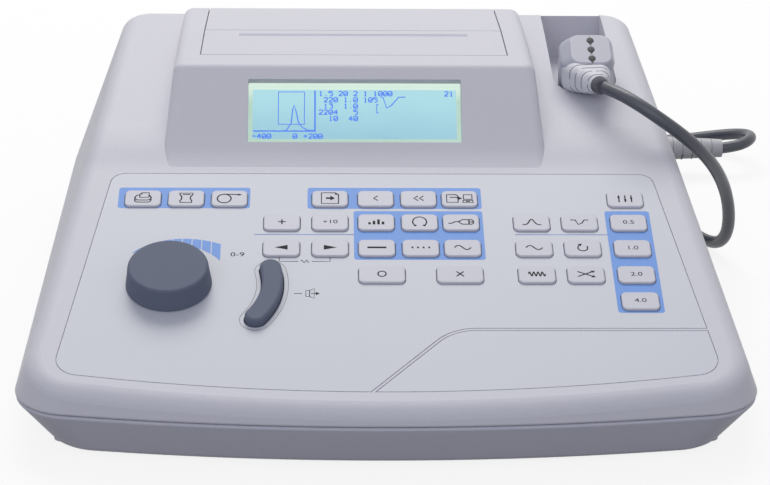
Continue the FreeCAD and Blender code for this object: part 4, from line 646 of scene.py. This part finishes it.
LEGENDS = {
    "print_key": [("loop", [(-1.8, 0.4), (-1.8, 3.0), (-0.5, 4.3), (3.1, 4.3), (3.1, 0.4)]),
                  ("fill", [(-1.8, 3.0), (-0.5, 3.0), (-0.5, 4.3)]),
                  ("line", [(-2.0, 2.3), (-3.3, 2.3), (-4.3, 0.5), (-4.3, -2.6), (-3.3, -3.7), (3.3, -3.7),
                            (4.3, -2.6), (4.3, 0.5), (3.3, 2.3)]),
                  ("line", [(-4.3, -0.6), (-3.0, -1.9), (3.0, -1.9), (4.3, -0.6)])],
    "report_key": [("loop", [(-3.6, 4.1), (3.6, 4.1), (3.3, 2.6), (2.3, 1.0), (2.2, -0.8), (3.1, -2.6),
                             (2.9, -4.0), (-2.9, -4.0), (-3.4, -2.8), (-2.5, -1.0), (-2.4, 0.9),
                             (-3.3, 2.6)]),
                   ("line", [(-2.0, 3.0), (2.3, 3.0)])],
    "paper_feed_key": [("loop", arc(-2.8, -0.5, 3.7, 0, 345, 23)), ("line", [(-2.8, 3.2), (4.8, 2.9)]),
                       ("fill", [(4.6, 3.7), (6.8, 2.85), (4.6, 2.0)])],
    "page_key": [("loop", [(-4.6, 4.6), (2.7, 4.6), (4.6, 3.0), (4.6, -4.6), (-4.6, -4.6)]),
                 ("fill", [(2.7, 4.6), (2.7, 3.0), (4.6, 3.0)]),
                 ("bold", [(-2.2, 0), (0.2, 0)]), ("fill", [(0.2, 2.0), (2.7, 0), (0.2, -2.0)])],
    "recall_back_key": [("line", [(1.1, 2.0), (-1.1, 0), (1.1, -2.0)])],
    "recall_next_key": [("line", [(-0.3, 2.0), (-2.5, 0), (-0.3, -2.0)]),
                        ("line", [(2.7, 2.0), (0.5, 0), (2.7, -2.0)])],
    "transfer_key": [("loop", [(-6.9, 3.2), (-2.0, 3.2), (-0.8, 2.1), (-0.8, -3.4), (-6.9, -3.4)]),
                     ("line", [(-5.2, 0.9), (-1.4, 0.9), (-0.4, 0.2)]),
                     ("fill", [(-0.6, 1.4), (1.5, 0), (-0.6, -1.2)]),
                     ("loop", [(2.2, 3.2), (6.8, 3.2), (6.8, -0.8), (2.2, -0.8)]),
                     ("loop", [(2.0, -1.7), (7.0, -1.7), (7.3, -3.5), (1.7, -3.5)]),
                     ("line", [(3.4, -2.6), (5.6, -2.6)])],
    "program_key": [("line", [(x, 2.9), (x, -2.9)]) for x in (-3.4, 0, 3.4)]
                   + [("bold", [(x - 0.6, s), (x + 0.6, s)])
                      for x, s in ((-3.4, 1.1), (0, -1.1), (3.4, 0.4))],
    "memory_key": [("line", [(-2.0, 0), (2.0, 0)]), ("line", [(0, 2.0), (0, -2.0)])],
    "boost_key": [("digits", "+10")],
    "audiometry_key": [("bold", [(x, -2.2), (x, s)])
                       for x, s in ((-3.6, -0.4), (-1.2, 0.8), (1.2, 2.0), (3.6, 0.2))],
    "headphone_key": [("line", arc(0, 0, 3.7, -52, 232, 22, 1.12)),
                      ("bold", [(-2.7, -2.6), (-2.1, -3.5)]), ("bold", [(2.7, -2.6), (2.1, -3.5)])],
    "insert_phone_key": [("line", [(-6.8, -1.1), (-5.2, -1.2), (-3.0, 0.2), (-1.0, 0.3)]),
                         ("loop", [(-1.0, 0.5), (0.8, 1.9), (5.6, 1.9), (6.6, 1.0), (6.6, -1.1), (5.6, -1.9),
                                   (0.8, -1.9), (-1.0, -0.5)]),
                         ("line", [(4.2, 1.9), (4.2, -1.9)]), ("line", [(4.2, 0), (6.6, 0)])],
    "tympanometry_key": [("line", [(x / 2, -2.2 + 4.6 * math.exp(-(x / 2 / 1.8) ** 2))
                                   for x in range(-10, 11)])],
    "reflex_key": [("line", [(-4.8, 1.8), (-2.2, 1.8), (-0.8, -2.0), (1.2, -0.9), (2.6, 1.8),
                             (4.8, 1.8)])],
    "tone_500_key": [("digits", "0.5")],
    "left_arrow_key": [("fill", [(-3.6, 0), (3.3, 1.9), (3.3, -1.9)])],
    "right_arrow_key": [("fill", [(3.6, 0), (-3.3, 1.9), (-3.3, -1.9)])],
    "steady_tone_key": [("bold", [(-5.0, 0), (5.0, 0)])],
    "pulsed_tone_key": [("bold", [(x - 0.5, 0), (x + 0.5, 0)]) for x in (-4.4, -1.5, 1.5, 4.4)],
    "warble_tone_key": [("line", tone_wave(1, 20))],
    "probe_226_key": [("line", tone_wave(1, 20))],
    "same_ear_key": [("line", arc(0, 0, 2.6, 120, 390, 18)),
                     ("fill", [(-2.6, 2.9), (-0.2, 3.2), (-1.1, 1.2)])],
    "tone_1000_key": [("digits", "1.0")],
    "right_ear_key": [("loop", arc(0, 0, 2.1, 0, 345, 23))],
    "left_ear_key": [("line", [(-1.9, 1.9), (1.9, -1.9)]), ("line", [(-1.9, -1.9), (1.9, 1.9)])],
    "probe_1000_key": [("line", tone_wave(4, 40))],
    "other_ear_key": [("line", [(-4.4, 2.0), (3.6, -2.0)]), ("line", [(-4.4, -2.0), (3.6, 2.0)]),
                      ("fill", [(2.4, 2.6), (4.9, 2.6), (3.7, 0.9)]),
                      ("fill", [(2.4, -2.6), (4.9, -2.6), (3.7, -0.9)])],
    "tone_2000_key": [("digits", "2.0")],
    "tone_4000_key": [("digits", "4.0")],
}
DIGIT_HEIGHT = 4.2
for key in KEY_NAMES:
    finish_node(key, key_abs)
    legend = bmesh.new()
    for kind, shape in LEGENDS[key]:
        if kind == "fill":
            fill_shape(legend, [shape])
        elif kind == "digits":
            set_digits(legend, shape, DIGIT_HEIGHT, (0, 0))
        else:
            draw_line(legend, shape, BOLD if kind == "bold" else PEN, closed=kind == "loop")
    x0, x1, s0, s1, top = caps[key]
    cap_top = keypad @ Matrix.Translation(((x0 + x1) / 2, (s0 + s1) / 2, top))
    lay_print(legend, key.replace("_key", "_legend"), cap_top, legend_ink, key)

# -------------------- level knob, encoder and tone bar
# The knob is a hollow slate-grey cap pressed on the encoder's steel shaft; the tone bar beside
# it is moulded from the same plastic.
slate_abs = moulded_abs("slate_grey_abs", "#636B7D", 0.6, 0.12, grain=0.6 * MM)
slate_abs.node_tree.nodes["Principled BSDF"].inputs["Specular IOR Level"].default_value = 0.2
finish_node("level_knob", slate_abs)
finish_node("tone_bar", slate_abs)
finish_node("knob_shaft", zinc)
finish_node("rotary_encoder", zinc)

# -------------------- display
# A reflective liquid crystal panel with a pale backlight behind a clear acrylic window: a
# greenish lit border, a cyan field, and blue dots that draw a curve and rows of figures.
DISPLAY_TILT = 43.6      # degrees
window_low, window_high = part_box("display_window")
display_along, display_up = leaning_back(DISPLAY_TILT)
to_panel = [display_up.dot(vertex.co) for vertex in nodes["lcd_module"].data.vertices]
screen_height = max(to_panel)
window_middle = (window_low + window_high) / 2
screen_middle = window_middle + display_up * (screen_height - display_up.dot(window_middle))
screen = plane_frame(screen_middle, display_along, display_up)

ACRYLIC_DUST = 60        # patches per metre, about 17 mm each
BACKLIGHT_CLOUDS = 25    # per metre, 40 mm each
CRYSTAL_MOTTLE = 900     # per metre, 1.1 mm each


def clear_acrylic():
    """Cast acrylic: clear, glossy, with a trace of dust that only shows in its gloss."""
    acrylic, tree, shader, on_piece = patterned("clear_cast_acrylic", "#FFFFFF", 0.02, IOR=1.49,
                                                Transmission_Weight=1.0)
    dust = node(tree, "ShaderNodeTexNoise", {"Scale": ACRYLIC_DUST, "Detail": 4.0}, on_piece)
    gloss = node(tree, "ShaderNodeMapRange",
                 {"From Min": 0.5, "From Max": 0.8, "To Min": 0.01, "To Max": 0.05}, {"Value": dust})
    drive(shader, Roughness=gloss)
    return acrylic


def lit_glass(name, near, far, reach, strength):
    """Backlit glass that fades from one colour at the lamp's edge to another across its height."""
    glass, tree, shader, on_piece = patterned(name, near, 0.3, Emission_Strength=strength)
    centred = node(tree, "ShaderNodeMapping", {"vector_type": "POINT", "Location": -screen_middle},
                   on_piece)
    height = node(tree, "ShaderNodeVectorMath", {"operation": "DOT_PRODUCT", 1: display_along},
                  {0: centred})
    share = node(tree, "ShaderNodeMapRange", {"From Min": reach[0] * MM, "From Max": reach[1] * MM},
                 {"Value": height.outputs["Value"]})
    mottle = node(tree, "ShaderNodeTexNoise", {"Scale": BACKLIGHT_CLOUDS, "Detail": 1.0}, on_piece)
    shift = node(tree, "ShaderNodeMath", {"operation": "MULTIPLY_ADD", 1: 0.5, 2: -0.25}, {0: mottle})
    total = node(tree, "ShaderNodeMath", {"operation": "ADD", "use_clamp": True}, {0: share, 1: shift})
    tone = node(tree, "ShaderNodeMix", {"data_type": "RGBA", 6: linear(near), 7: linear(far)},
                {0: total})
    shader.inputs["Base Color"].default_value = linear("#26343A")
    drive(shader, Emission_Color=tone.outputs[2])
    return glass


finish_node("display_window", clear_acrylic())
finish_node("lcd_module", lit_glass("lit_border_glass", "#AED0BE", "#DFF6E6", reach=(8, 19),
                                    strength=0.95))

FIELD = (-56.8, 56.8, -14.7, 15.8)       # x0, x1, t0, t1 about the window's middle
FIELD_CORNER = 0.3
field_print = bmesh.new()
fill_shape(field_print, [rounded(*FIELD, FIELD_CORNER)])
cyan_glass = lit_glass("lit_cyan_glass", "#8EC6DA", "#A6DEE9", reach=(-16, 10), strength=0.9)
lay_print(field_print, "lcd_field", screen, cyan_glass, "base")

# What the crystals draw: a frame with a peak in it, an upright and a level axis with ticks, a
# second small curve, and rows of plain numbers on the panel's grid of dots.
DOT_LINE = 0.66          # millimetres, about one row of dots
COLUMN, ROW = 0.52, 0.46     # spacing of the dots that a figure is drawn on, four by six
CELL_WIDTH = 2.77
FIGURE_LIFT = 0.06       # of the figures above the field
FIGURES = {
    "0": ("103041453616050110", "0144"), "1": ("152620", "1030"), "2": ("05163645440040",),
    "3": ("0646243443413010",), "4": ("30360242",), "5": ("4606043443413010",),
    "+": ("2125", "0343"), "-": ("0343",), ".": ("2021",)}


def lit_crystal():
    """Turned crystals over the backlight: an even, deep blue with a slight unevenness."""
    crystal, tree, shader, on_piece = patterned("lit_blue_crystal", "#0C2048", 0.4, Emission_Strength=0.9)
    mottle = node(tree, "ShaderNodeTexNoise", {"Scale": CRYSTAL_MOTTLE, "Detail": 1.0}, on_piece)
    tone = node(tree, "ShaderNodeMix",
                {"data_type": "RGBA", 6: linear("#0566F4"), 7: linear("#1C7BF9")}, {0: mottle})
    drive(shader, Emission_Color=tone.outputs[2])
    return crystal


def set_figure(print_mesh, figure, start, foot):
    """A figure on the panel's grid of dots: each stroke lists its corners as column and row."""
    for stroke in FIGURES[figure]:
        corners = [(start + COLUMN * int(column), foot + ROW * int(row))
                   for column, row in zip(stroke[::2], stroke[1::2])]
        for part in zip(corners, corners[1:]):
            draw_line(print_mesh, part, DOT_LINE)


UPRIGHT_X = -22.1        # where the upright axis stands and the level one lies
LEVEL_T = -9.9
UPRIGHT_LINE, LEVEL_LINE = 1.3 * DOT_LINE, 1.2 * DOT_LINE
figures = bmesh.new()
draw_line(figures, [(-42.5, 14.4), (-28.0, 14.4), (-28.0, -5.7), (-42.5, -5.7)], DOT_LINE, closed=True)
draw_line(figures, [(UPRIGHT_X, 15.3), (UPRIGHT_X, LEVEL_T)], UPRIGHT_LINE)
draw_line(figures, [(-56.3, LEVEL_T), (-21.7, LEVEL_T)], LEVEL_LINE)
for x in (-56.1, -44.7, -33.5):
    draw_line(figures, [(x, LEVEL_T), (x, -9.3)], DOT_LINE)
for t in (7.0, -1.6):
    draw_line(figures, [(-22.6, t), (UPRIGHT_X, t)], DOT_LINE)
draw_line(figures, [(-39.6, -9.6), (-37.9, -9.4), (-35.3, -4.9), (-34.5, 3.4), (-33.7, 6.4), (-32.7, 2.6),
                    (-31.3, -4.6), (-29.1, -7.7), (-26.1, -9.3), (-22.3, -9.6)], DOT_LINE)
draw_line(figures, [(14.7, 11.4), (15.9, 11.2), (17.8, 4.6), (20.4, 6.0), (24.6, 11.3), (28.4, 11.4)],
          DOT_LINE)
draw_line(figures, [(13.3, 6.7), (12.3, 6.7), (12.3, 1.6), (13.3, 1.6)], DOT_LINE)
ROWS = ((-19.9, 12.1, "1.5 20 2 1 1000"), (-19.9, 8.2, " 220 1.0 105"), (-19.9, 4.3, " 13  1.0"),
        (-19.9, 0.5, "2204   5"), (-19.9, -3.4, "  10  40"), (-56.9, -14.4, "-400"),
        (-34.2, -14.4, "0"), (-28.4, -14.4, "+200"), (50.3, 12.1, "21"))
for start, foot, row in ROWS:
    for place, figure in enumerate(row):
        if figure != " ":
            set_figure(figures, figure, start + CELL_WIDTH * place, foot)
for x in (16.3, 23.2):
    draw_line(figures, [(x - 0.2, -14.0), (x + 0.2, -14.0)], DOT_LINE)
lay_print(figures, "lcd_figures", screen @ Matrix.Translation((0, 0, FIGURE_LIFT)), lit_crystal(),
          "base")

# -------------------- printer and its covers
# A fixed front cover with the tear slot and a hinged rear lid, both in the housing's plastic;
# under them a strip printer: steel cheeks, rubber platen, thermal head, motor and a roll.
finish_node("printer_cover", light_abs)
finish_node("paper_lid", light_abs)
painted_steel = moulded_abs("grey_painted_steel", "#8E8F93", 0.4, 0.05)
finish_node("printer_frame", painted_steel)
finish_node("printer_motor", zinc)
finish_node("print_head", black_abs)
finish_node("platen_roller", black_rubber)

PAPER_FIBRE = 900        # per metre, 1.1 mm; the real fibre is finer and wouldn't show


def thermal_paper():
    """Coated thermal paper: white and smooth, with a faint trace of its fibre."""
    paper, tree, shader, on_piece = patterned("white_thermal_paper", "#F1F1EE", 0.6)
    fibre = node(tree, "ShaderNodeTexNoise", {"Scale": PAPER_FIBRE, "Detail": 2.0}, on_piece)
    bump = node(tree, "ShaderNodeBump", {"Strength": 0.06, "Distance": 0.2 * MM}, {"Height": fibre})
    drive(shader, Normal=bump)
    return paper


paper_white = thermal_paper()
finish_node("paper_roll", paper_white)


def draw_out(shape, edges, way):
    """Draws edges out along a way into a sheet."""
    drawn = bmesh.ops.extrude_edge_only(shape, edges=edges)["geom"]
    bmesh.ops.translate(shape, vec=way, verts=[part for part in drawn
                                               if isinstance(part, bmesh.types.BMVert)])


# The paper runs off the roll, up between the head and the platen, and ends in the tear slot.
HOUSING_X = -15 * MM
PAPER_HALF = 56 * MM
PAPER_THICKNESS = 0.08 * MM
PAPER_PATH = ((137.8, 72.5), (121, 84.2), (108, 93.3), (105.2, 96.2), (104.3, 99.5), (104.15, 110),
              (104.2, 118), (104.9, 124), (105.6, 127.3))     # y, z in millimetres
web = bmesh.new()
line = [web.verts.new((HOUSING_X - PAPER_HALF, y * MM, z * MM)) for y, z in PAPER_PATH]
for first, second in zip(line, line[1:]):
    web.edges.new((first, second))
draw_out(web, web.edges[:], (2 * PAPER_HALF, 0, 0))
bmesh.ops.solidify(web, geom=web.faces[:], thickness=PAPER_THICKNESS)
bmesh.ops.recalc_face_normals(web, faces=web.faces)
paper_web = as_piece("paper_web", web, paper_white)
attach(paper_web, "base")


def skin_of(name):
    """A carried-over node's faces, so that straight lines can be brought to meet them."""
    mesh = nodes[name].data
    return BVHTree.FromPolygons([vertex.co for vertex in mesh.vertices],
                                [polygon.vertices for polygon in mesh.polygons])


def top_of(skin, x, y):
    """How high a skin is at a place, seen from above."""
    return skin.ray_cast(Vector((x, y, 1)), Vector((0, 0, -1)))[0].z


# A toothed tear strip of lavender ABS closes most of the slot and leaves a slit for the paper.
SLOT_HALF = 66.4 * MM
SLOT_REAR = 108.3 * MM
STRIP_DEPTH = 4.2 * MM
STRIP_THICKNESS = 0.8 * MM
STRIP_SUNK = 0.15 * MM
TOOTH = 1.6 * MM
TOOTH_DEPTH = 0.9 * MM
tear_abs = moulded_abs("lavender_tear_strip_abs", "#B7B7CA", 0.5, 0.1)
cover_skin = skin_of("printer_cover")
strip_x = HOUSING_X - SLOT_HALF
front_top, rear_top = (top_of(cover_skin, strip_x - TOOTH, y) - STRIP_SUNK
                       for y in (SLOT_REAR - STRIP_DEPTH, SLOT_REAR))
tooth_count = round(2 * SLOT_HALF / TOOTH)
strip = bmesh.new()
rear_edge = strip.edges.new((strip.verts.new((strip_x, SLOT_REAR, rear_top)),
                             strip.verts.new((strip_x + 2 * SLOT_HALF, SLOT_REAR, rear_top))))
draw_out(strip, [rear_edge], (0, -STRIP_DEPTH, front_top - rear_top))
front_edge = min(strip.edges, key=lambda edge: edge.verts[0].co.y + edge.verts[1].co.y)
bmesh.ops.subdivide_edges(strip, edges=[front_edge], cuts=2 * tooth_count - 1)
front_verts = sorted((v for v in strip.verts if v.co.y < SLOT_REAR - STRIP_DEPTH / 2),
                     key=lambda v: v.co.x)
bmesh.ops.translate(strip, vec=(0, TOOTH_DEPTH, 0), verts=front_verts[::2])
bmesh.ops.triangulate(strip, faces=strip.faces[:])
bmesh.ops.recalc_face_normals(strip, faces=strip.faces)
bmesh.ops.solidify(strip, geom=strip.faces[:], thickness=STRIP_THICKNESS)
bmesh.ops.recalc_face_normals(strip, faces=strip.faces)
tear_strip = as_piece("tear_strip", strip, tear_abs)
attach(tear_strip, "base")

# -------------------- hand-held probe and its plug
# The probe's body and ribbed relief are glossy pale ABS and a softer overmoulding; its nose is coloured near
# white as a painted highlight, where light catches the probe's lower left side.  The plug behind the case
# has a grey hood with a segmented relief.
probe_abs = moulded_abs("pale_lavender_abs", "#AFB0BE", 0.32, 0.04, grain=0.5 * MM)
relief_tpe = moulded_abs("pale_soft_tpe", "#D8D9E0", 0.5, 0.06, grain=0.5 * MM)
finish_node("probe_body", probe_abs)
finish_node("probe_relief", relief_tpe)
# The nose's near white is a painted highlight, not the plastic's own colour.
finish_node("probe_nose", moulded_abs("white_painted_highlight_abs", "#F0F0F0", 0.35, 0.03))
finish_node("probe_plug", moulded_abs("grey_connector_abs", "#BDBDC2", 0.45, 0.1))

# Three dark lamp lenses stand in a row on the probe's top, each with a wedge-shaped mark.
PROBE_LEAN = 23.5                        # degrees
CROWN_WITHIN = 0.04 * MM                 # what still counts as the flat top
probe_along, probe_up = leaning_back(PROBE_LEAN)
crown_height = max(probe_up.dot(vertex.co) for vertex in nodes["probe_body"].data.vertices)
crown = [vertex.co for vertex in nodes["probe_body"].data.vertices
         if crown_height - probe_up.dot(vertex.co) < CROWN_WITHIN]
crown_middle = probe_up * crown_height
for direction in (ACROSS, probe_along):
    reach = [direction.dot(point) for point in crown]
    crown_middle += direction * (min(reach) + max(reach)) / 2
crown_plane = plane_frame(crown_middle, probe_along, probe_up)
LAMP_SPACING = 7.6       # millimetres
LAMP_ROW_MIDDLE = -0.4   # along the probe, from the middle of its top
LAMP_HALF = (2.1, 2.5, 0.6)
LAMP_PLACES = [place * LAMP_SPACING + LAMP_ROW_MIDDLE for place in (-1, 0, 1)]
lens_black = moulded_abs("smoked_lamp_lens", "#36363B", 0.6, 0.02)
lamps = bmesh.new()
for middle in LAMP_PLACES:
    seat = crown_plane @ Matrix.Translation((0, middle, 0)) @ Matrix.Diagonal((*LAMP_HALF, 1))
    bmesh.ops.create_uvsphere(lamps, u_segments=28, v_segments=14, radius=1, matrix=seat)
for face in lamps.faces:
    face.smooth = True
probe_lamps = as_piece("probe_lamps", lamps, lens_black)
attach(probe_lamps, "base")
WEDGE = ((-1.0, -1.8), (1.0, -1.8), (0.4, -4.2), (-0.4, -4.2))     # from a lamp's middle
lamp_marks = bmesh.new()
for middle in LAMP_PLACES:
    fill_shape(lamp_marks, [[(x, middle + t) for x, t in WEDGE]])
draw_line(lamp_marks, [(0, 10.0), (0, 11.0)], HAIRLINE)
lay_print(lamp_marks, "probe_lamp_marks", crown_plane, screen_ink("dark_grey_pad_ink", "#36363B"),
          "base")


def lay_strand(strands, points, width):
    """A strand of round section along points in space, in metres."""
    take_print(strands, round_stroke(points, width), Matrix.Identity(4))


def finish_strands(strands, name):
    """Makes the strands laid so far a piece in the painted shade of a narrow gap."""
    piece = as_piece(name, strands, gap_shade)
    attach(piece, "base")


# The relief's ribs are parted by narrow slits that run round the cable and are interrupted, so that the bell
# can bend.  Each is a dark strand of painted shade, half sunk in the surface.
RELIEF_YAW, RELIEF_RISE = math.radians(10.3), math.radians(6.7)
RELIEF_LENGTH = 23 * MM
SLIT_PLACES = (4.1, 9.5, 14.9, 20.3)     # millimetres from the probe's front
SLIT_WIDTH = 0.55 * MM
SLITS_EACH = 3
SLIT_SPAN = 100                          # degrees
SLIT_STEPS = 24
ROW_TURN = 47                            # degrees that each row of slits is turned on
relief_out = Vector((math.sin(RELIEF_YAW) * math.cos(RELIEF_RISE),
                     -math.cos(RELIEF_YAW) * math.cos(RELIEF_RISE), math.sin(RELIEF_RISE)))
relief_root = front_route[0] - relief_out * RELIEF_LENGTH
relief_side = relief_out.cross(Vector((0, 0, 1))).normalized()
relief_over = relief_side.cross(relief_out)
relief_skin = skin_of("probe_relief")
gap_shade = moulded_abs("painted_gap_shade", "#6F707C", 0.7, 0.05)
slits = bmesh.new()
for row, place in enumerate(SLIT_PLACES):
    middle = relief_root + relief_out * place * MM
    for slit in range(SLITS_EACH):
        start = 360 / SLITS_EACH * slit + ROW_TURN * row
        points = []
        for step in range(SLIT_STEPS + 1):
            angle = math.radians(start + SLIT_SPAN * step / SLIT_STEPS)
            ray = relief_side * math.cos(angle) + relief_over * math.sin(angle)
            met = relief_skin.ray_cast(middle, ray)[0]
            if met:
                points.append(met)
        if len(points) > 2:
            lay_strand(slits, points, SLIT_WIDTH)
finish_strands(slits, "relief_slits")

# A dark sleeve of soft rubber closes the relief round the cable.
SLEEVE_PROFILE = ((-1.0, 5.0), (0.6, 5.0), (2.2, 4.9), (3.9, 4.6),
                  (5.2, 4.1), (5.8, 3.4))     # along the cable and out from it, in millimetres
SLEEVE_STEPS = 32
sleeve = bmesh.new()
outline = [sleeve.verts.new(front_route[0] + (relief_out * along + relief_over * radius) * MM)
           for along, radius in SLEEVE_PROFILE]
edges = [sleeve.edges.new(pair) for pair in zip(outline, outline[1:])]
bmesh.ops.spin(sleeve, geom=outline + edges, cent=front_route[0], axis=relief_out,
               angle=math.tau, steps=SLEEVE_STEPS, use_merge=True)
bmesh.ops.holes_fill(sleeve, edges=sleeve.edges[:])
bmesh.ops.recalc_face_normals(sleeve, faces=sleeve.faces)
for face in sleeve.faces:
    face.smooth = len(face.verts) == 4
cable_sleeve = as_piece("cable_sleeve", sleeve, moulded_rubber("grey_sleeve_rubber", "#74767F"))
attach(cable_sleeve, "base")

# The plug's relief is cut into segments by gaps that open on its lower half.  Their shade is painted too, as
# dark strands: a thin one all round, and a thicker one below.
PLUG_RELIEF = Vector((190, 222, 17)) * MM
PLUG_RELIEF_LENGTH, PLUG_ROOT_RADIUS, PLUG_TIP_RADIUS = 36 * MM, 7.6 * MM, 5.8 * MM
GAP_PLACES = (3.8, 10.0, 16.4, 22.4, 29.0)
RING_WIDTH = 0.35 * MM
GAP_WIDTH, GAP_NARROWING = 1.3, 0.03     # millimetres, and what each millimetre along takes off
GAP_FROM, GAP_TO, GAP_STEP = 195, 345, 15                # degrees; 270 points down
gaps = bmesh.new()
for place in GAP_PLACES:
    along = place * MM
    radius = PLUG_ROOT_RADIUS + (PLUG_TIP_RADIUS - PLUG_ROOT_RADIUS) * along / PLUG_RELIEF_LENGTH
    gap_width = (GAP_WIDTH - GAP_NARROWING * place) * MM
    for start, end, width in ((0, 360, RING_WIDTH), (GAP_FROM, GAP_TO, gap_width)):
        angles = [math.radians(angle) for angle in range(start, end + 1, GAP_STEP)]
        points = [PLUG_RELIEF + Vector((along, radius * math.cos(angle), radius * math.sin(angle)))
                  for angle in angles]
        lay_strand(gaps, points, width)
finish_strands(gaps, "plug_relief_gaps")
